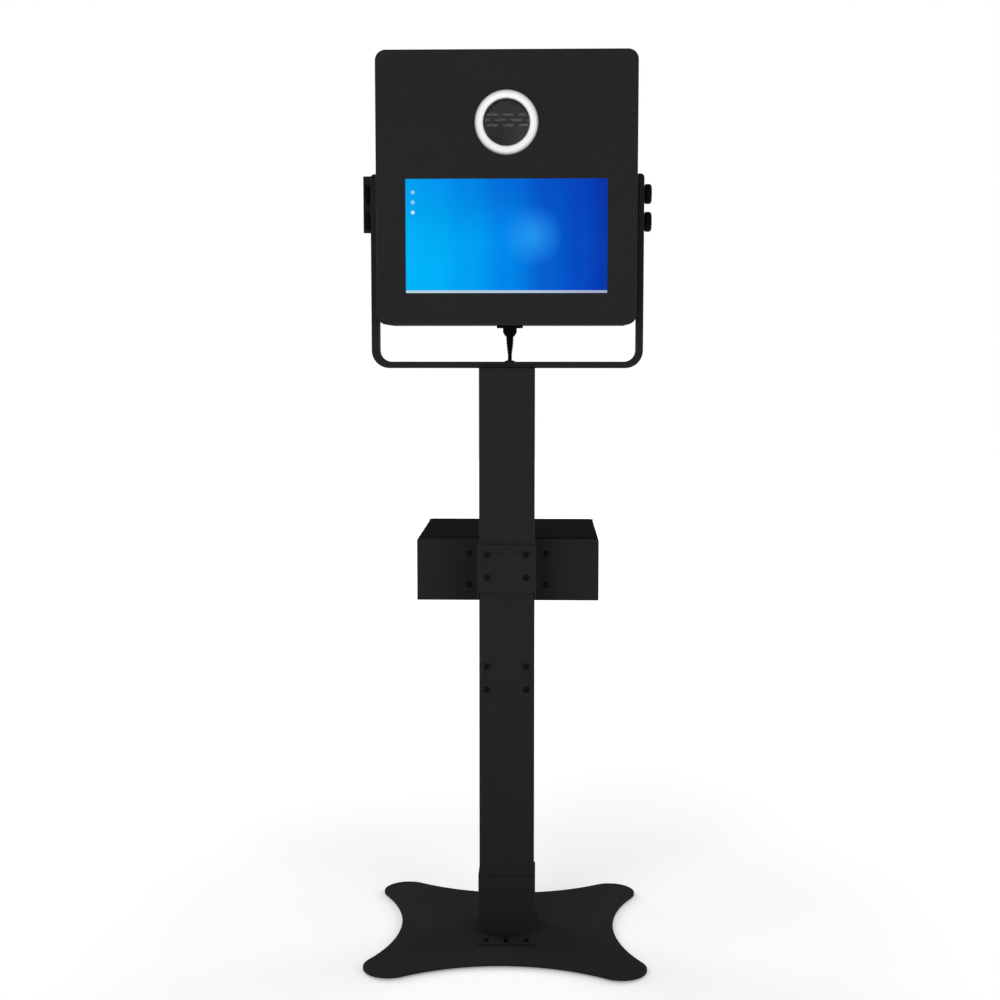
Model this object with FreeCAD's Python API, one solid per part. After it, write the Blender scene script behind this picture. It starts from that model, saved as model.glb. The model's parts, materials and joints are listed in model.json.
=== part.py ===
import FreeCAD, Part
import math
import os
from FreeCAD import Vector

# A free-standing photo booth: a steel head with a ring light and a touch screen, held in a yoke on a
# column, with a power box behind the column and a four-lobed base plate. Millimetres, +Z up, the user
# in front at -Y. The origin is on the floor, under the column's axis.

# ---------------------------------------------------------------- driving dimensions
# Base
pad_height = 4.0
pad_radius = 22.0
base_thickness = 5.0
base_edge_round = 1.5
lobe_x = 198.0            # centre of each lobe, from the column's axis
lobe_y = 184.0
lobe_radius = 46.0
base_front_mid = 173.0    # half the plate's depth at its middle
base_waist = 194.0        # half the plate's width at its middle

# Column
column_width = 98.0
column_depth = 80.0
column_wall = 2.0
column_corner = 3.0
lower_column_length = 434.0
upper_column_length = 581.0
joiner_length = 200.0
cap_thickness = 6.0
cap_spigot_depth = 14.0
cap_spigot_wall = 4.0
spigot_corner = 2.0       # outside corners of the joiner and the cap's spigot
column_screw_length = 14.0

# Foot socket
socket_wall = 2.0
socket_height = 108.0
socket_flange_depth = 51.0
socket_flange_thickness = 3.0
foot_bolt_spacing = 74.0
foot_bolt_inset = 14.0    # from the flange's free edge
anchor_hole_radius = 6.0
anchor_slot_width = 8.0
anchor_slot_length = 30.0
anchor_gap = 6.0          # between the foot socket and the keyhole
socket_flange_corner = 4.0
socket_screw_shares = (0.4, 0.75)     # of the socket's height
bolt_end_gap = 0.5        # the foot bolts end above the plate's lower face

# Yoke
yoke_width = 476.0        # outside
yoke_strap = 50.0         # width of the flat bar
yoke_thickness = 11.0
yoke_bend_inside = 20.0
arm_above_pivot = 34.0
arm_corner = 12.0
arm_tip_round = 8.0       # of the arms' outer top edges
guard_reach = 18.5        # of the left arm's knob guard, past the arm's outer face
guard_thickness = 3.0
guard_corner = 2.0
guard_below_lock = 16.5
guard_above_tip = 1.0
guard_gap = 1.5           # between the guard and the lock knob at the end of its arc
arm_edge_round = 2.0
yoke_screw_inset = 12.0   # from the column's inner wall
yoke_screw_edge = 10.0    # from the strap's long edges
tilt_limit = 12.0         # degrees, each way
lock_radius = 48.0        # from the pivot down to the lock knobs

# Head
head_width = 447.0
head_height = 463.0
head_depth = 150.0
head_corner = 18.0
head_front_round = 4.0
head_rear_round = 2.5
head_sheet = 1.5
head_above_yoke = 64.0    # free height under the head
pivot_above_head_bottom = 228.0

# Ring light and camera port
ring_above_head_bottom = 341.0
ring_outer_radius = 54.5
ring_inner_radius = 39.5
ring_height = 6.5
ring_outer_lap = 3.5      # the diffuser's rim over the front panel
ring_inner_lap = 2.5      # the diffuser's skirt in from its inner edge
port_wall = 1.5
housing_depth = 16.0
housing_flange_width = 10.3
led_board_thickness = 1.6
led_count = 24
led_size = 5.0
led_height = 1.1
diffuser_skirt = 5.0
diffuser_skirt_wall = 2.0
ring_shoulder = 0.45      # of the ring's height, where its crown starts
port_lead = 2.5           # the housing's port wall in front of its flange
board_play = 0.5

# Display
screen_above_head_bottom = 150.5
screen_width = 345.0
screen_height = 193.0
screen_corner = 1.5
glass_margin = 8.0
glass_thickness = 3.0
lcd_thickness = 7.0
clamp_width = 34.0
clamp_thickness = 2.0
clamp_lap = 12.0
clamp_rise = 50.0         # the clamps above the display, where they carry the camera shelf
clamp_screw_inset = 7.0   # from the clamps' outer edges
display_screw_inset = 10.0
shelf_fixing_drop = 12.0  # below the camera shelf's top
standoff_radius = 4.5
standoff_floor = 2.0      # left under each standoff's thread
plate_thickness = 1.5
equipment_height = 150.0
screw_notch = (26.0, 30.0)            # width, height

# Electronics: (x from, x to, height above or below the screen's middle, depth)
pc_x = (-150.0, -20.0)
pc_z = (-62.0, 56.0)
pc_depth = 38.0
pc_corner = 5.0
pc_fin_count = 13
pc_fin_pitch = 9.0
pc_fin_gap = 4.0
pc_fin_depth = 4.0
pc_fin_margin = (10.0, 12.0)          # beside and above the fins
driver_x = (30.0, 125.0)
driver_height = 50.0
driver_depth = 28.0
driver_round = 2.5
terminal_length = 6.0
terminal_height = 30.0
terminal_depth = 12.0
supply_x = (-160.0, -40.0)
supply_y = (-25.0, 30.0)
supply_height = 36.0
supply_round = 4.0
wire_radius = 2.0

# Camera shelf
camera_axis_height = 48.0  # lens axis above the shelf
camera_shelf_width = 150.0
camera_shelf_depth = 112.0
camera_shelf_thickness = 2.0
camera_shelf_fold = 14.0
camera_plate_width = 70.0
camera_plate_depth = 50.0
camera_plate_thickness = 6.0
camera_travel = 25.0       # each way
camera_stud_radius = 3.175   # for a quarter-inch thread
camera_shoulder_radius = 3.5
camera_stud_proud = 5.0
camera_shelf_front = 24.0  # height of the shelf's front fold
camera_behind_middle = 4.0
camera_plate_corner = 6.0
camera_rib = 2.0
camera_rib_places = (-18.0, -12.0, 12.0, 18.0)
thumb_radius = 11.0
thumb_height = 8.0
thumb_flutes = 20
thumb_flute_radius = 1.3
slot_width = 8.0

# Rear door
door_border = 30.0        # width of the frame left around the door
door_gap = 1.5
frame_lip = 14.0
doorway_corner = 2.0
door_corner = 3.0
door_fold = 9.0
door_fold_inset = 3.0
door_fold_end = 12.0
vent_length = 20.0
vent_height = 4.0
vent_pitch_x = 29.0
vent_pitch_z = 9.3
vent_columns = 9
vent_rows = 3
vent_above_ring = 26.0
low_vent_above_door = 60.0
hinge_leaf_width = 22.0
hinge_leaf_height = 64.0
hinge_leaf_thickness = 1.5
knuckle_radius = 3.0
hinge_pin_radius = 1.5
hinge_leaf_corner = 3.0
hinge_screw_reach = 0.62  # of the leaf's width
hinge_screw_rise = 0.3    # of the leaf's height
pin_head = 1.0
hinge_inset = 80.0        # from the door's top and bottom to each hinge's middle
lock_radius_body = 9.5
lock_plug_radius = 6.0
lock_inset = 17.0
lock_flange = 2.5
lock_flange_edge = 1.5
lock_plug_proud = 2.2
lock_barrel_past_lip = 3.0
key_slot = (1.6, 8.0)     # width, height
cam_width = 13.0
cam_thickness = 2.5
cam_tail = 9.0
cam_past_edge = 12.0

# Knobs
stud_radius = 4.0
knob_radius = 17.5
knob_length = 13.5
knob_neck_radius = 12.0
knob_neck_length = 1.5
knob_flutes = 12
flute_radius = 3.0
flute_depth_share = 0.55  # of a flute's radius that its centre stands outside the grip
knob_face_round = 4.5
knob_back_round = 2.0
stud_reach = 10.0         # past the weld nut's seat
washer_radius = 15.0
weld_nut_across = 13.0
weld_nut_thickness = 6.5
side_plate_thickness = 3.0
side_plate_margin = 26.0

# Power inlet, plug and cord
inlet_x = 4.5
inlet_flange_width = 46.0
inlet_flange_depth = 24.0
inlet_flange_thickness = 5.0
inlet_body_width = 28.0
inlet_body_depth = 21.0
inlet_body_height = 26.0
inlet_wall = 1.5
inlet_corner = 5.0
inlet_screw_inset = 4.5
plug_inside = 17.0
plug_outside = 14.0
plug_corner = 2.5
plug_shoulder = 4.5
relief_rings = 4
relief_groove = 1.0
relief_end_wall = 1.0
relief_length = 30.0
relief_radius = 6.8
cord_radius = 3.5
grommet_radius = 7.0
grommet_bore = 4.6
grommet_flange_radius = 9.0
grommet_dome = 2.5
grommet_rim = 1.0

# Power box behind the column
box_bottom = 607.0        # above the floor
box_width = 331.0
box_depth = 305.0
box_height = 116.0
box_sheet = 1.5
box_bend = 8.0
box_rim = 8.5             # height of the bottom tray's rim
box_return = 14.0
tray_lip = 12.0
bracket_thickness = 2.5
bracket_above_box_bottom = 16.0
bracket_height = 97.0
bracket_web_cut = 11.0
bracket_flange_width = 38.0
web_screw_spacing = 69.0
web_screw_heights = (38.0, 79.0)      # above the bracket's lower edge
flange_screw_spacing = 142.0
flange_screw_heights = (12.5, 70.0)
joint_screw_spacing = 70.0
joint_screw_heights = (16.0, 58.0)    # above the column's seam
feed_above_box_bottom = 42.0
feed_radius = 9.0
feed_bore = 7.0
feed_flange_radius = 12.0
feed_flange = 1.5
strip_length = 250.0
strip_depth = 44.0
strip_height = 44.0
strip_behind_front = 135.0
strip_edge_round = 3.0
outlet_count = 5
outlet_pitch = 45.0
outlet_width = 26.6
outlet_height = 18.6
outlet_depth = 18.0
plug_block_width = 26.0   # the plug at the cord's far end
plug_block_height = 18.0
plug_block_length = 40.0
plug_block_round = 2.5
plug_block_inside = 17.0
plug_block_relief = 18.0
plug_block_relief_radius = 6.5
cover_edge_gap = 4.0      # both sides together
cover_foot_gap = 1.0
cover_top_gap = 3.0
cover_corner = 4.0
cover_screw_margin = 14.0
tray_screw_margin = 60.0
louvre_length = 90.0
louvre_x = -80.0
louvre_pitch = 10.0
louvre_rows = 4
mains_inlet_x = 100.0
mains_inlet_above_box_bottom = 58.0
mains_body = (48.0, 26.0, 27.0)       # width, depth, height
mains_flange = (70.0, 36.0, 5.0)      # width, height, corner
mains_flange_thickness = 3.0
mains_screw_reach = 30.0
mains_socket = (25.0, 17.0, 17.9)     # width, height, depth
mains_socket_x = 9.5      # from the inlet's middle
mains_pin = (2.0, 12.0, 4.0)
mains_pin_places = ((-7.0, -2.0), (0.0, 2.0), (7.0, -2.0))
rocker_pocket = (14.6, 22.0, 11.9)    # width, height, depth
rocker_x = -14.0
rocker_width = 14.0
rocker_reach = 9.0
rocker_crest = 5.5
rocker_valley = 3.9
rocker_foot = (3.0, 4.0)  # depth below its axis, half the height there
rocker_axis_depth = 1.5
rocker_tip = 10.0         # degrees, each side of level

# Fasteners: (head radius, head height, shank radius, socket across flats)
m4_screw = (3.6, 2.4, 2.0, 2.5)
m6_screw = (5.3, 3.3, 3.0, 4.0)
m8_screw = (7.0, 4.4, 4.0, 5.0)
hole_play = 0.25          # radial, around a fastener
m4_length = 8.0
shelf_screw_length = 6.0
inlet_screw_length = 9.0
nut_across = 10.0
nut_thickness = 5.0

# Clearances
running_fit = 0.05        # radial, between a shaft and its bore
slip = 0.3                # between faces of pieces that move past each other
seat_play = 0.2           # each side, between a piece and the pocket it sits in
bush_fit = 0.1            # radial, between a rubber bush and its hole

# ---------------------------------------------------------------- levels that follow from them
base_top = pad_height + base_thickness
seam_z = base_top + lower_column_length
column_top = seam_z + upper_column_length
yoke_bottom = column_top + cap_thickness
bar_top = yoke_bottom + yoke_thickness
head_bottom = bar_top + head_above_yoke
head_middle = head_bottom + head_height / 2
pivot_z = head_bottom + pivot_above_head_bottom
lock_z = pivot_z - lock_radius
arm_top = pivot_z + arm_above_pivot
head_front = -head_depth / 2
head_rear = head_depth / 2
inner_front = head_front + head_sheet
inner_rear = head_rear - head_sheet
ring_z = head_bottom + ring_above_head_bottom
ring_skirt_radius = ring_outer_radius - ring_outer_lap
housing_outer = ring_skirt_radius + seat_play + port_wall
housing_flange_radius = housing_outer + housing_flange_width
screen_z = head_bottom + screen_above_head_bottom
glass_back = inner_front + glass_thickness
lcd_back = glass_back + lcd_thickness
clamp_back = lcd_back + clamp_thickness
plate_back = clamp_back + plate_thickness
camera_shelf_top = ring_z - camera_axis_height
door_width = head_width - 2 * door_border
door_height = head_height - 2 * door_border
yoke_inside = yoke_width / 2 - yoke_thickness
knob_seat = yoke_width / 2 + slip
box_top = box_bottom + box_height
box_front = column_depth / 2 + bracket_thickness
box_rear = box_front + box_depth
bracket_bottom = box_bottom + bracket_above_box_bottom
feed_z = box_bottom + feed_above_box_bottom
mains_inlet_z = box_bottom + mains_inlet_above_box_bottom
plug_bottom = head_bottom - inlet_flange_thickness - plug_outside
relief_bottom = plug_bottom - relief_length

AXIS_X = Vector(1, 0, 0)
AXIS_Y = Vector(0, 1, 0)
AXIS_Z = Vector(0, 0, 1)
ORIGIN = Vector(0, 0, 0)


# ---------------------------------------------------------------- shapes
def block(x0, x1, y0, y1, z0, z1):
    return Part.makeBox(x1 - x0, y1 - y0, z1 - z0, Vector(x0, y0, z0))


def centred_block(width, depth, height, centre):
    corner = centre - Vector(width / 2, depth / 2, height / 2)
    return Part.makeBox(width, depth, height, corner)


def rod(radius, start, axis, length):
    return Part.makeCylinder(radius, length, start, axis)


def aimed(shape, point, axis):
    """The shape, made along +Z at the origin, moved to a point and turned along an axis."""
    placed = shape.copy()
    placed.Placement = FreeCAD.Placement(point, FreeCAD.Rotation(AXIS_Z, axis))
    return placed


def rounded_prism(width, height, corner, depth):
    """A rounded rectangle in XY about the origin, extruded up +Z."""
    solid = Part.makeBox(width, height, depth, Vector(-width / 2, -height / 2, 0))
    return solid.makeFillet(corner, along(solid.Edges, AXIS_Z))


def front_prism(width, height, corner, y0, y1, z, x=0.0):
    """A rounded rectangle in XZ about (x, z), from y0 back to y1."""
    solid = rounded_prism(width, height, corner, y1 - y0)
    solid.rotate(ORIGIN, AXIS_X, -90)
    solid.translate(Vector(x, y0, z))
    return solid


def column_prism(width, depth, corner, z0, z1):
    solid = rounded_prism(width, depth, corner, z1 - z0)
    solid.translate(Vector(0, 0, z0))
    return solid


def slot_prism(length, width, depth):
    """A slot with round ends in XY, long along X, extruded up +Z."""
    return rounded_prism(length, width, width / 2 - 0.001, depth)


def turned(profile, point, axis):
    """A closed outline of (radius, height) points, turned about an axis through a point."""
    corners = [Vector(radius, 0, height) for radius, height in profile]
    face = Part.Face(Part.makePolygon(corners + corners[:1]))
    return aimed(face.revolve(ORIGIN, AXIS_Z, 360), point, axis)


def hexagon(across, height):
    reach = across / math.sqrt(3)
    angles = [math.radians(60 * i) for i in range(6)]
    corners = [Vector(reach * math.cos(a), reach * math.sin(a), 0) for a in angles]
    return Part.Face(Part.makePolygon(corners + corners[:1])).extrude(Vector(0, 0, height))


def along(edges, axis):
    """The straight edges that run along an axis."""
    return [edge for edge in edges if abs(edge.tangentAt(edge.FirstParameter).dot(axis)) > 0.99]


def rim(edges, level, axis="z"):
    """The edges that lie wholly at one level of an axis."""
    found = []
    for edge in edges:
        box = edge.BoundBox
        low, high = getattr(box, axis.upper() + "Min"), getattr(box, axis.upper() + "Max")
        if abs(low - level) < 0.01 and abs(high - level) < 0.01:
            found.append(edge)
    return found


def mirrored(shape):
    return shape.mirror(ORIGIN, AXIS_X)


def both_sides(shape):
    return [shape, mirrored(shape)]


def screw(size, length, seat, outward):
    """A button-head screw: its head stands outward of the seat, its shank reaches the other way."""
    head_radius, head_height, shank_radius, socket = size
    head = rod(head_radius, ORIGIN, AXIS_Z, head_height)
    head = head.makeFillet(head_height * 0.6, rim(head.Edges, head_height))
    recess = hexagon(socket, head_height)
    recess.translate(Vector(0, 0, head_height * 0.4))
    shank = rod(shank_radius, Vector(0, 0, -length), AXIS_Z, length)
    return aimed(head.cut(recess).fuse(shank).removeSplitter(), seat, outward)


def nut(size, seat, outward):
    """A hexagonal nut for a screw of this size, standing outward of its seat."""
    body = hexagon(nut_across, nut_thickness).cut(rod(size[2] + running_fit, ORIGIN, AXIS_Z, nut_thickness))
    return aimed(body, seat, outward)


def clearance(size):
    return size[2] + hole_play


def holes(points, radius, axis, depth):
    """Cutters, one through each point, reaching depth each way along the axis."""
    return [rod(radius, point - axis * depth, axis, 2 * depth) for point in points]


def grid(xs, zs, y):
    return [Vector(x, y, z) for x in xs for z in zs]


def pair(spacing):
    return (-spacing / 2, spacing / 2)


# ---------------------------------------------------------------- cords
def cord_path(points):
    """Straight runs joined by tangent arcs, each as large as its two runs allow."""
    edges = []
    radii = []
    last = points[0]
    for before, corner, after in zip(points, points[1:], points[2:]):
        back = before - corner
        ahead = after - corner
        turn = math.pi - back.getAngle(ahead)
        cut = 0.45 * min(back.Length, ahead.Length)
        radius = cut / math.tan(turn / 2)
        back.normalize()
        ahead.normalize()
        start = corner + back * cut
        end = corner + ahead * cut
        inward = back + ahead
        inward.normalize()
        middle = corner + inward * (radius / math.cos(turn / 2) - radius)
        edges.append(Part.LineSegment(last, start).toShape())
        edges.append(Part.Arc(start, middle, end).toShape())
        radii.append(radius)
        last = end
    edges.append(Part.LineSegment(last, points[-1]).toShape())
    return Part.Wire(edges), radii


def cord(name, points, radius):
    path, radii = cord_path(points)
    direction = points[1] - points[0]
    section = Part.Wire(Part.makeCircle(radius, points[0], direction))
    tube = path.makePipeShell([section], True, True)
    wanted = math.pi * radius ** 2 * path.Length
    print(name, "length", round(path.Length, 1), "radii", [round(r) for r in radii],
          "volume ratio", round(tube.Volume / wanted, 4))
    return tube


# ---------------------------------------------------------------- base and column
def anchor_cutter():
    """The keyhole in front of the column, for a floor anchor or a security tether."""
    round_y = -column_depth / 2 - socket_wall - anchor_hole_radius - anchor_gap
    top = base_top + socket_flange_thickness
    hole = rod(anchor_hole_radius, Vector(0, round_y, 0), AXIS_Z, top + 1)
    front = round_y - anchor_slot_length
    neck = block(-anchor_slot_width / 2, anchor_slot_width / 2, front, round_y, 0, top + 1)
    end = rod(anchor_slot_width / 2, Vector(0, front, 0), AXIS_Z, top + 1)
    return hole.fuse([neck, end])


def socket_reach():
    return column_depth / 2 + seat_play + socket_wall


def foot_bolt_points():
    y = socket_reach() + socket_flange_depth - foot_bolt_inset
    return [Vector(x, side * y, base_top) for x in pair(foot_bolt_spacing) for side in (-1, 1)]


def base_plate():
    """Four round lobes joined by hollow arcs, each tangent to the lobes on both sides."""
    def hollow(to_lobe, across, middle):
        # radius of the arc that passes the plate's middle and is tangent to a lobe
        offset = middle - to_lobe
        return (across ** 2 + offset ** 2 - lobe_radius ** 2) / (2 * (lobe_radius - offset))

    front_radius = hollow(lobe_y, lobe_x, base_front_mid)
    side_radius = hollow(lobe_x, lobe_y, base_waist)
    lobe = Vector(lobe_x, lobe_y, 0)
    front_centre = Vector(0, base_front_mid + front_radius, 0)
    side_centre = Vector(base_waist + side_radius, 0, 0)
    front_tangent = lobe + (front_centre - lobe).normalize() * lobe_radius
    side_tangent = lobe + (side_centre - lobe).normalize() * lobe_radius
    tip = lobe + Vector(lobe).normalize() * lobe_radius

    def flip(point, sx, sy):
        return Vector(point.x * sx, point.y * sy, 0)

    arcs = []
    for sx in (1, -1):
        for sy in (1, -1):
            arcs.append(Part.Arc(flip(front_tangent, sx, sy), flip(tip, sx, sy), flip(side_tangent, sx, sy)))
    for s in (1, -1):
        arcs.append(Part.Arc(flip(front_tangent, -1, s), Vector(0, s * base_front_mid, 0),
                             flip(front_tangent, 1, s)))
        arcs.append(Part.Arc(flip(side_tangent, s, -1), Vector(s * base_waist, 0, 0),
                             flip(side_tangent, s, 1)))
    outline = Part.Wire(Part.__sortEdges__([arc.toShape() for arc in arcs]))
    plate = Part.Face(outline).extrude(Vector(0, 0, base_thickness))
    plate.translate(Vector(0, 0, pad_height))
    plate = plate.makeFillet(base_edge_round, rim(plate.Edges, base_top))
    bolt_holes = holes(foot_bolt_points(), clearance(m6_screw), AXIS_Z, base_top)
    return plate.cut(bolt_holes + [anchor_cutter()])


def foot_pads():
    """Rubber pads under the plate: one at its middle and one in each lobe."""
    pads = [rod(pad_radius, ORIGIN, AXIS_Z, pad_height)]
    for sx in (1, -1):
        for sy in (1, -1):
            pads.append(rod(pad_radius, Vector(sx * lobe_x, sy * lobe_y, 0), AXIS_Z, pad_height))
    return pads


def socket_screw_points():
    """The screws that hold the lower tube in the foot socket, on its rear face."""
    heights = [base_top + socket_height * share for share in socket_screw_shares]
    return grid(pair(joint_screw_spacing), heights, socket_reach())


def foot_socket():
    width = column_width + 2 * seat_play
    depth = column_depth + 2 * seat_play
    outside_corner = column_corner + seat_play + socket_wall
    sleeve = column_prism(width + 2 * socket_wall, depth + 2 * socket_wall, outside_corner,
                          base_top, base_top + socket_height)
    reach = socket_reach() + socket_flange_depth
    half = width / 2 + socket_wall
    flange = block(-half, half, -reach, reach, base_top, base_top + socket_flange_thickness)
    flange = flange.makeFillet(socket_flange_corner, along(flange.Edges, AXIS_Z))
    pocket = column_prism(width, depth, column_corner + seat_play, base_top, base_top + socket_height)
    body = sleeve.fuse(flange).removeSplitter().cut(pocket)
    cutters = holes(foot_bolt_points(), clearance(m6_screw), AXIS_Z, 2 * socket_flange_thickness)
    cutters += holes(socket_screw_points(), clearance(m6_screw), AXIS_Y, 2 * socket_wall)
    cutters.append(anchor_cutter())
    return body.cut(cutters)


def foot_bolts():
    length = socket_flange_thickness + base_thickness - bolt_end_gap
    bolts = []
    for point in foot_bolt_points():
        seat = point + AXIS_Z * socket_flange_thickness
        bolts.append(screw(m6_screw, length, seat, AXIS_Z))
    return bolts


def tube(z0, z1):
    outside = column_prism(column_width, column_depth, column_corner, z0, z1)
    inside = column_prism(column_width - 2 * column_wall, column_depth - 2 * column_wall,
                          column_corner - column_wall, z0, z1)
    return outside.cut(inside)


def joint_screw_points():
    return grid(pair(joint_screw_spacing), [seam_z + h for h in joint_screw_heights], -column_depth / 2)


def web_screw_points():
    heights = [bracket_bottom + h for h in web_screw_heights]
    return grid(pair(web_screw_spacing), heights, -column_depth / 2)


def flange_screw_points():
    heights = [bracket_bottom + h for h in flange_screw_heights]
    return grid(pair(flange_screw_spacing), heights, box_front)


def feed_cutter():
    """The hole for the cord's grommet, through the column's rear wall and the box's front."""
    return rod(feed_radius, Vector(0, column_depth / 2 - 2 * column_wall, feed_z), AXIS_Y, 6 * column_wall)


def column_lower():
    reach = 2 * (socket_wall + column_wall)
    return tube(base_top, seam_z).cut(holes(socket_screw_points(), clearance(m6_screw), AXIS_Y, reach))


def column_upper():
    cutters = holes(joint_screw_points() + web_screw_points(), clearance(m6_screw), AXIS_Y, 2 * column_wall)
    return tube(seam_z, column_top).cut(cutters + [feed_cutter()])


def joiner_size():
    play = 2 * (column_wall + seat_play)
    return column_width - play, column_depth - play


def column_joiner():
    """A spigot fixed in the lower tube, which the upper tube slides over."""
    width, depth = joiner_size()
    z0, z1 = seam_z - joiner_length / 2, seam_z + joiner_length / 2
    outside = column_prism(width, depth, spigot_corner, z0, z1)
    inside = column_prism(width - 2 * column_wall, depth - 2 * column_wall, spigot_corner / 2, z0, z1)
    return outside.cut(inside).cut(holes(joint_screw_points(), clearance(m6_screw), AXIS_Y, 4 * column_wall))


def column_fixings():
    """The M6 screws of the column with the nuts behind them: (screws, nuts)."""
    screws, nuts = [], []
    wall_y = -column_depth / 2 + column_wall
    joiner_y = wall_y + seat_play + column_wall
    for point in joint_screw_points():
        screws.append(screw(m6_screw, column_screw_length, point, -AXIS_Y))
        nuts.append(nut(m6_screw, Vector(point.x, joiner_y, point.z), AXIS_Y))
    for point in web_screw_points():
        screws.append(screw(m6_screw, column_screw_length, point - AXIS_Y * bracket_thickness, -AXIS_Y))
        nuts.append(nut(m6_screw, Vector(point.x, wall_y, point.z), AXIS_Y))
    for point in flange_screw_points():
        screws.append(screw(m6_screw, column_screw_length, point - AXIS_Y * bracket_thickness, -AXIS_Y))
        nuts.append(nut(m6_screw, point + AXIS_Y * box_sheet, AXIS_Y))
    for point in socket_screw_points():
        screws.append(screw(m6_screw, column_screw_length, point, AXIS_Y))
        nuts.append(nut(m6_screw, Vector(point.x, -wall_y, point.z), -AXIS_Y))
    return screws, nuts


# ---------------------------------------------------------------- yoke
def yoke_screw_points():
    x = column_width / 2 - column_wall - yoke_screw_inset
    y = yoke_strap / 2 - yoke_screw_edge
    return [Vector(sx * x, sy * y, bar_top) for sx in (-1, 1) for sy in (-1, 1)]


def grommet_cutter():
    return rod(grommet_radius, Vector(inlet_x, 0, column_top - cap_spigot_depth), AXIS_Z,
               cap_spigot_depth + cap_thickness + yoke_thickness)


def column_cap():
    """The plate that closes the column, with a spigot down inside the tube."""
    cap = column_prism(column_width, column_depth, column_corner, column_top, yoke_bottom)
    width, depth = joiner_size()
    spigot_foot = column_top - cap_spigot_depth
    spigot = column_prism(width, depth, spigot_corner, spigot_foot, column_top)
    hollow = column_prism(width - 2 * cap_spigot_wall, depth - 2 * cap_spigot_wall, spigot_corner,
                          spigot_foot, column_top)
    body = cap.fuse(spigot.cut(hollow)).removeSplitter()
    through = 2 * (yoke_thickness + cap_thickness)
    return body.cut(holes(yoke_screw_points(), clearance(m6_screw), AXIS_Z, through) + [grommet_cutter()])


def arc_slot():
    """The lock stud's slot in one arm, an arc about the pivot, cut along X."""
    half = stud_radius + seat_play
    x0 = yoke_inside - 1
    length = yoke_thickness + 2
    pivot = Vector(x0, 0, pivot_z)
    ring = rod(lock_radius + half, pivot, AXIS_X, length).cut(rod(lock_radius - half, pivot, AXIS_X, length))
    angle = math.radians(tilt_limit)
    far = 2 * lock_radius
    wedge = Part.Face(Part.makePolygon([
        pivot,
        pivot + Vector(0, far * math.sin(angle), -far * math.cos(angle)),
        pivot + Vector(0, -far * math.sin(angle), -far * math.cos(angle)),
        pivot,
    ])).extrude(AXIS_X * length)
    ends = []
    for side in (-1, 1):
        centre = pivot + Vector(0, side * lock_radius * math.sin(angle), -lock_radius * math.cos(angle))
        ends.append(rod(half, centre, AXIS_X, length))
    return ring.common(wedge).fuse(ends)


def knob_guard():
    """A flange behind the left arm's two knobs, on a spacer welded to the arm's rear edge."""
    outer = yoke_width / 2 + guard_reach
    front = lock_radius * math.sin(math.radians(tilt_limit)) + knob_radius + guard_gap
    low, high = lock_z - guard_below_lock, arm_top + guard_above_tip
    plate = block(-outer, -yoke_inside, front, front + guard_thickness, low, high)
    plate = plate.makeFillet(guard_corner, along(rim(plate.Edges, -outer, "x"), AXIS_Y))
    spacer = block(-yoke_width / 2, -yoke_inside, yoke_strap / 2 - arm_edge_round, front, low, high)
    return plate.fuse(spacer)


def yoke():
    """A flat bar bent to a U, with a pivot hole and an arc slot in each arm."""
    height = arm_top - yoke_bottom
    spare = 100.0
    centre = yoke_bottom + (height + spare) / 2
    outside = front_prism(yoke_width, height + spare, yoke_bend_inside + yoke_thickness,
                          -yoke_strap / 2, yoke_strap / 2, centre)
    inside = front_prism(2 * yoke_inside, height + spare - 2 * yoke_thickness, yoke_bend_inside,
                         -yoke_strap / 2, yoke_strap / 2, centre)
    above = block(-yoke_width, yoke_width, -yoke_strap, yoke_strap, arm_top, arm_top + 2 * spare)
    strap = outside.cut(inside).cut(above)
    strap = strap.makeFillet(arm_corner, along(rim(strap.Edges, arm_top), AXIS_X))
    long_edges = rim(strap.Edges, yoke_strap / 2, "y") + rim(strap.Edges, -yoke_strap / 2, "y")
    strap = strap.makeFillet(arm_edge_round, long_edges)
    tips = front_prism(yoke_width, 2 * height, arm_tip_round, -yoke_strap, yoke_strap, arm_top - height)
    strap = strap.common(tips).fuse(knob_guard()).removeSplitter()
    pivot_hole = rod(stud_radius + running_fit, Vector(-yoke_width, 0, pivot_z), AXIS_X, 2 * yoke_width)
    cutters = [pivot_hole] + both_sides(arc_slot()) + [grommet_cutter()]
    cutters += holes(yoke_screw_points(), clearance(m6_screw), AXIS_Z, 2 * yoke_thickness)
    head_radius, head_height = m6_screw[:2]
    cutters += [rod(head_radius + hole_play, point - AXIS_Z * head_height, AXIS_Z, 2 * head_height)
                for point in yoke_screw_points()]
    return strap.cut(cutters)


def yoke_screws():
    """Screws through the yoke into the cap, their heads sunk flush."""
    sunk = AXIS_Z * m6_screw[1]
    length = yoke_thickness + cap_thickness
    return [screw(m6_screw, length, point - sunk, AXIS_Z) for point in yoke_screw_points()]


def yoke_grommet():
    """A rubber bush through the yoke and the cap, with a low dome on top."""
    sleeve = yoke_thickness + cap_thickness
    outer = grommet_radius - bush_fit
    profile = [
        (grommet_bore, -sleeve), (outer, -sleeve), (outer, 0), (grommet_flange_radius, 0),
        (grommet_flange_radius, grommet_rim), (grommet_bore + grommet_rim, grommet_dome),
        (grommet_bore, grommet_dome),
    ]
    return turned(profile, Vector(inlet_x, 0, bar_top), AXIS_Z)


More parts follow.
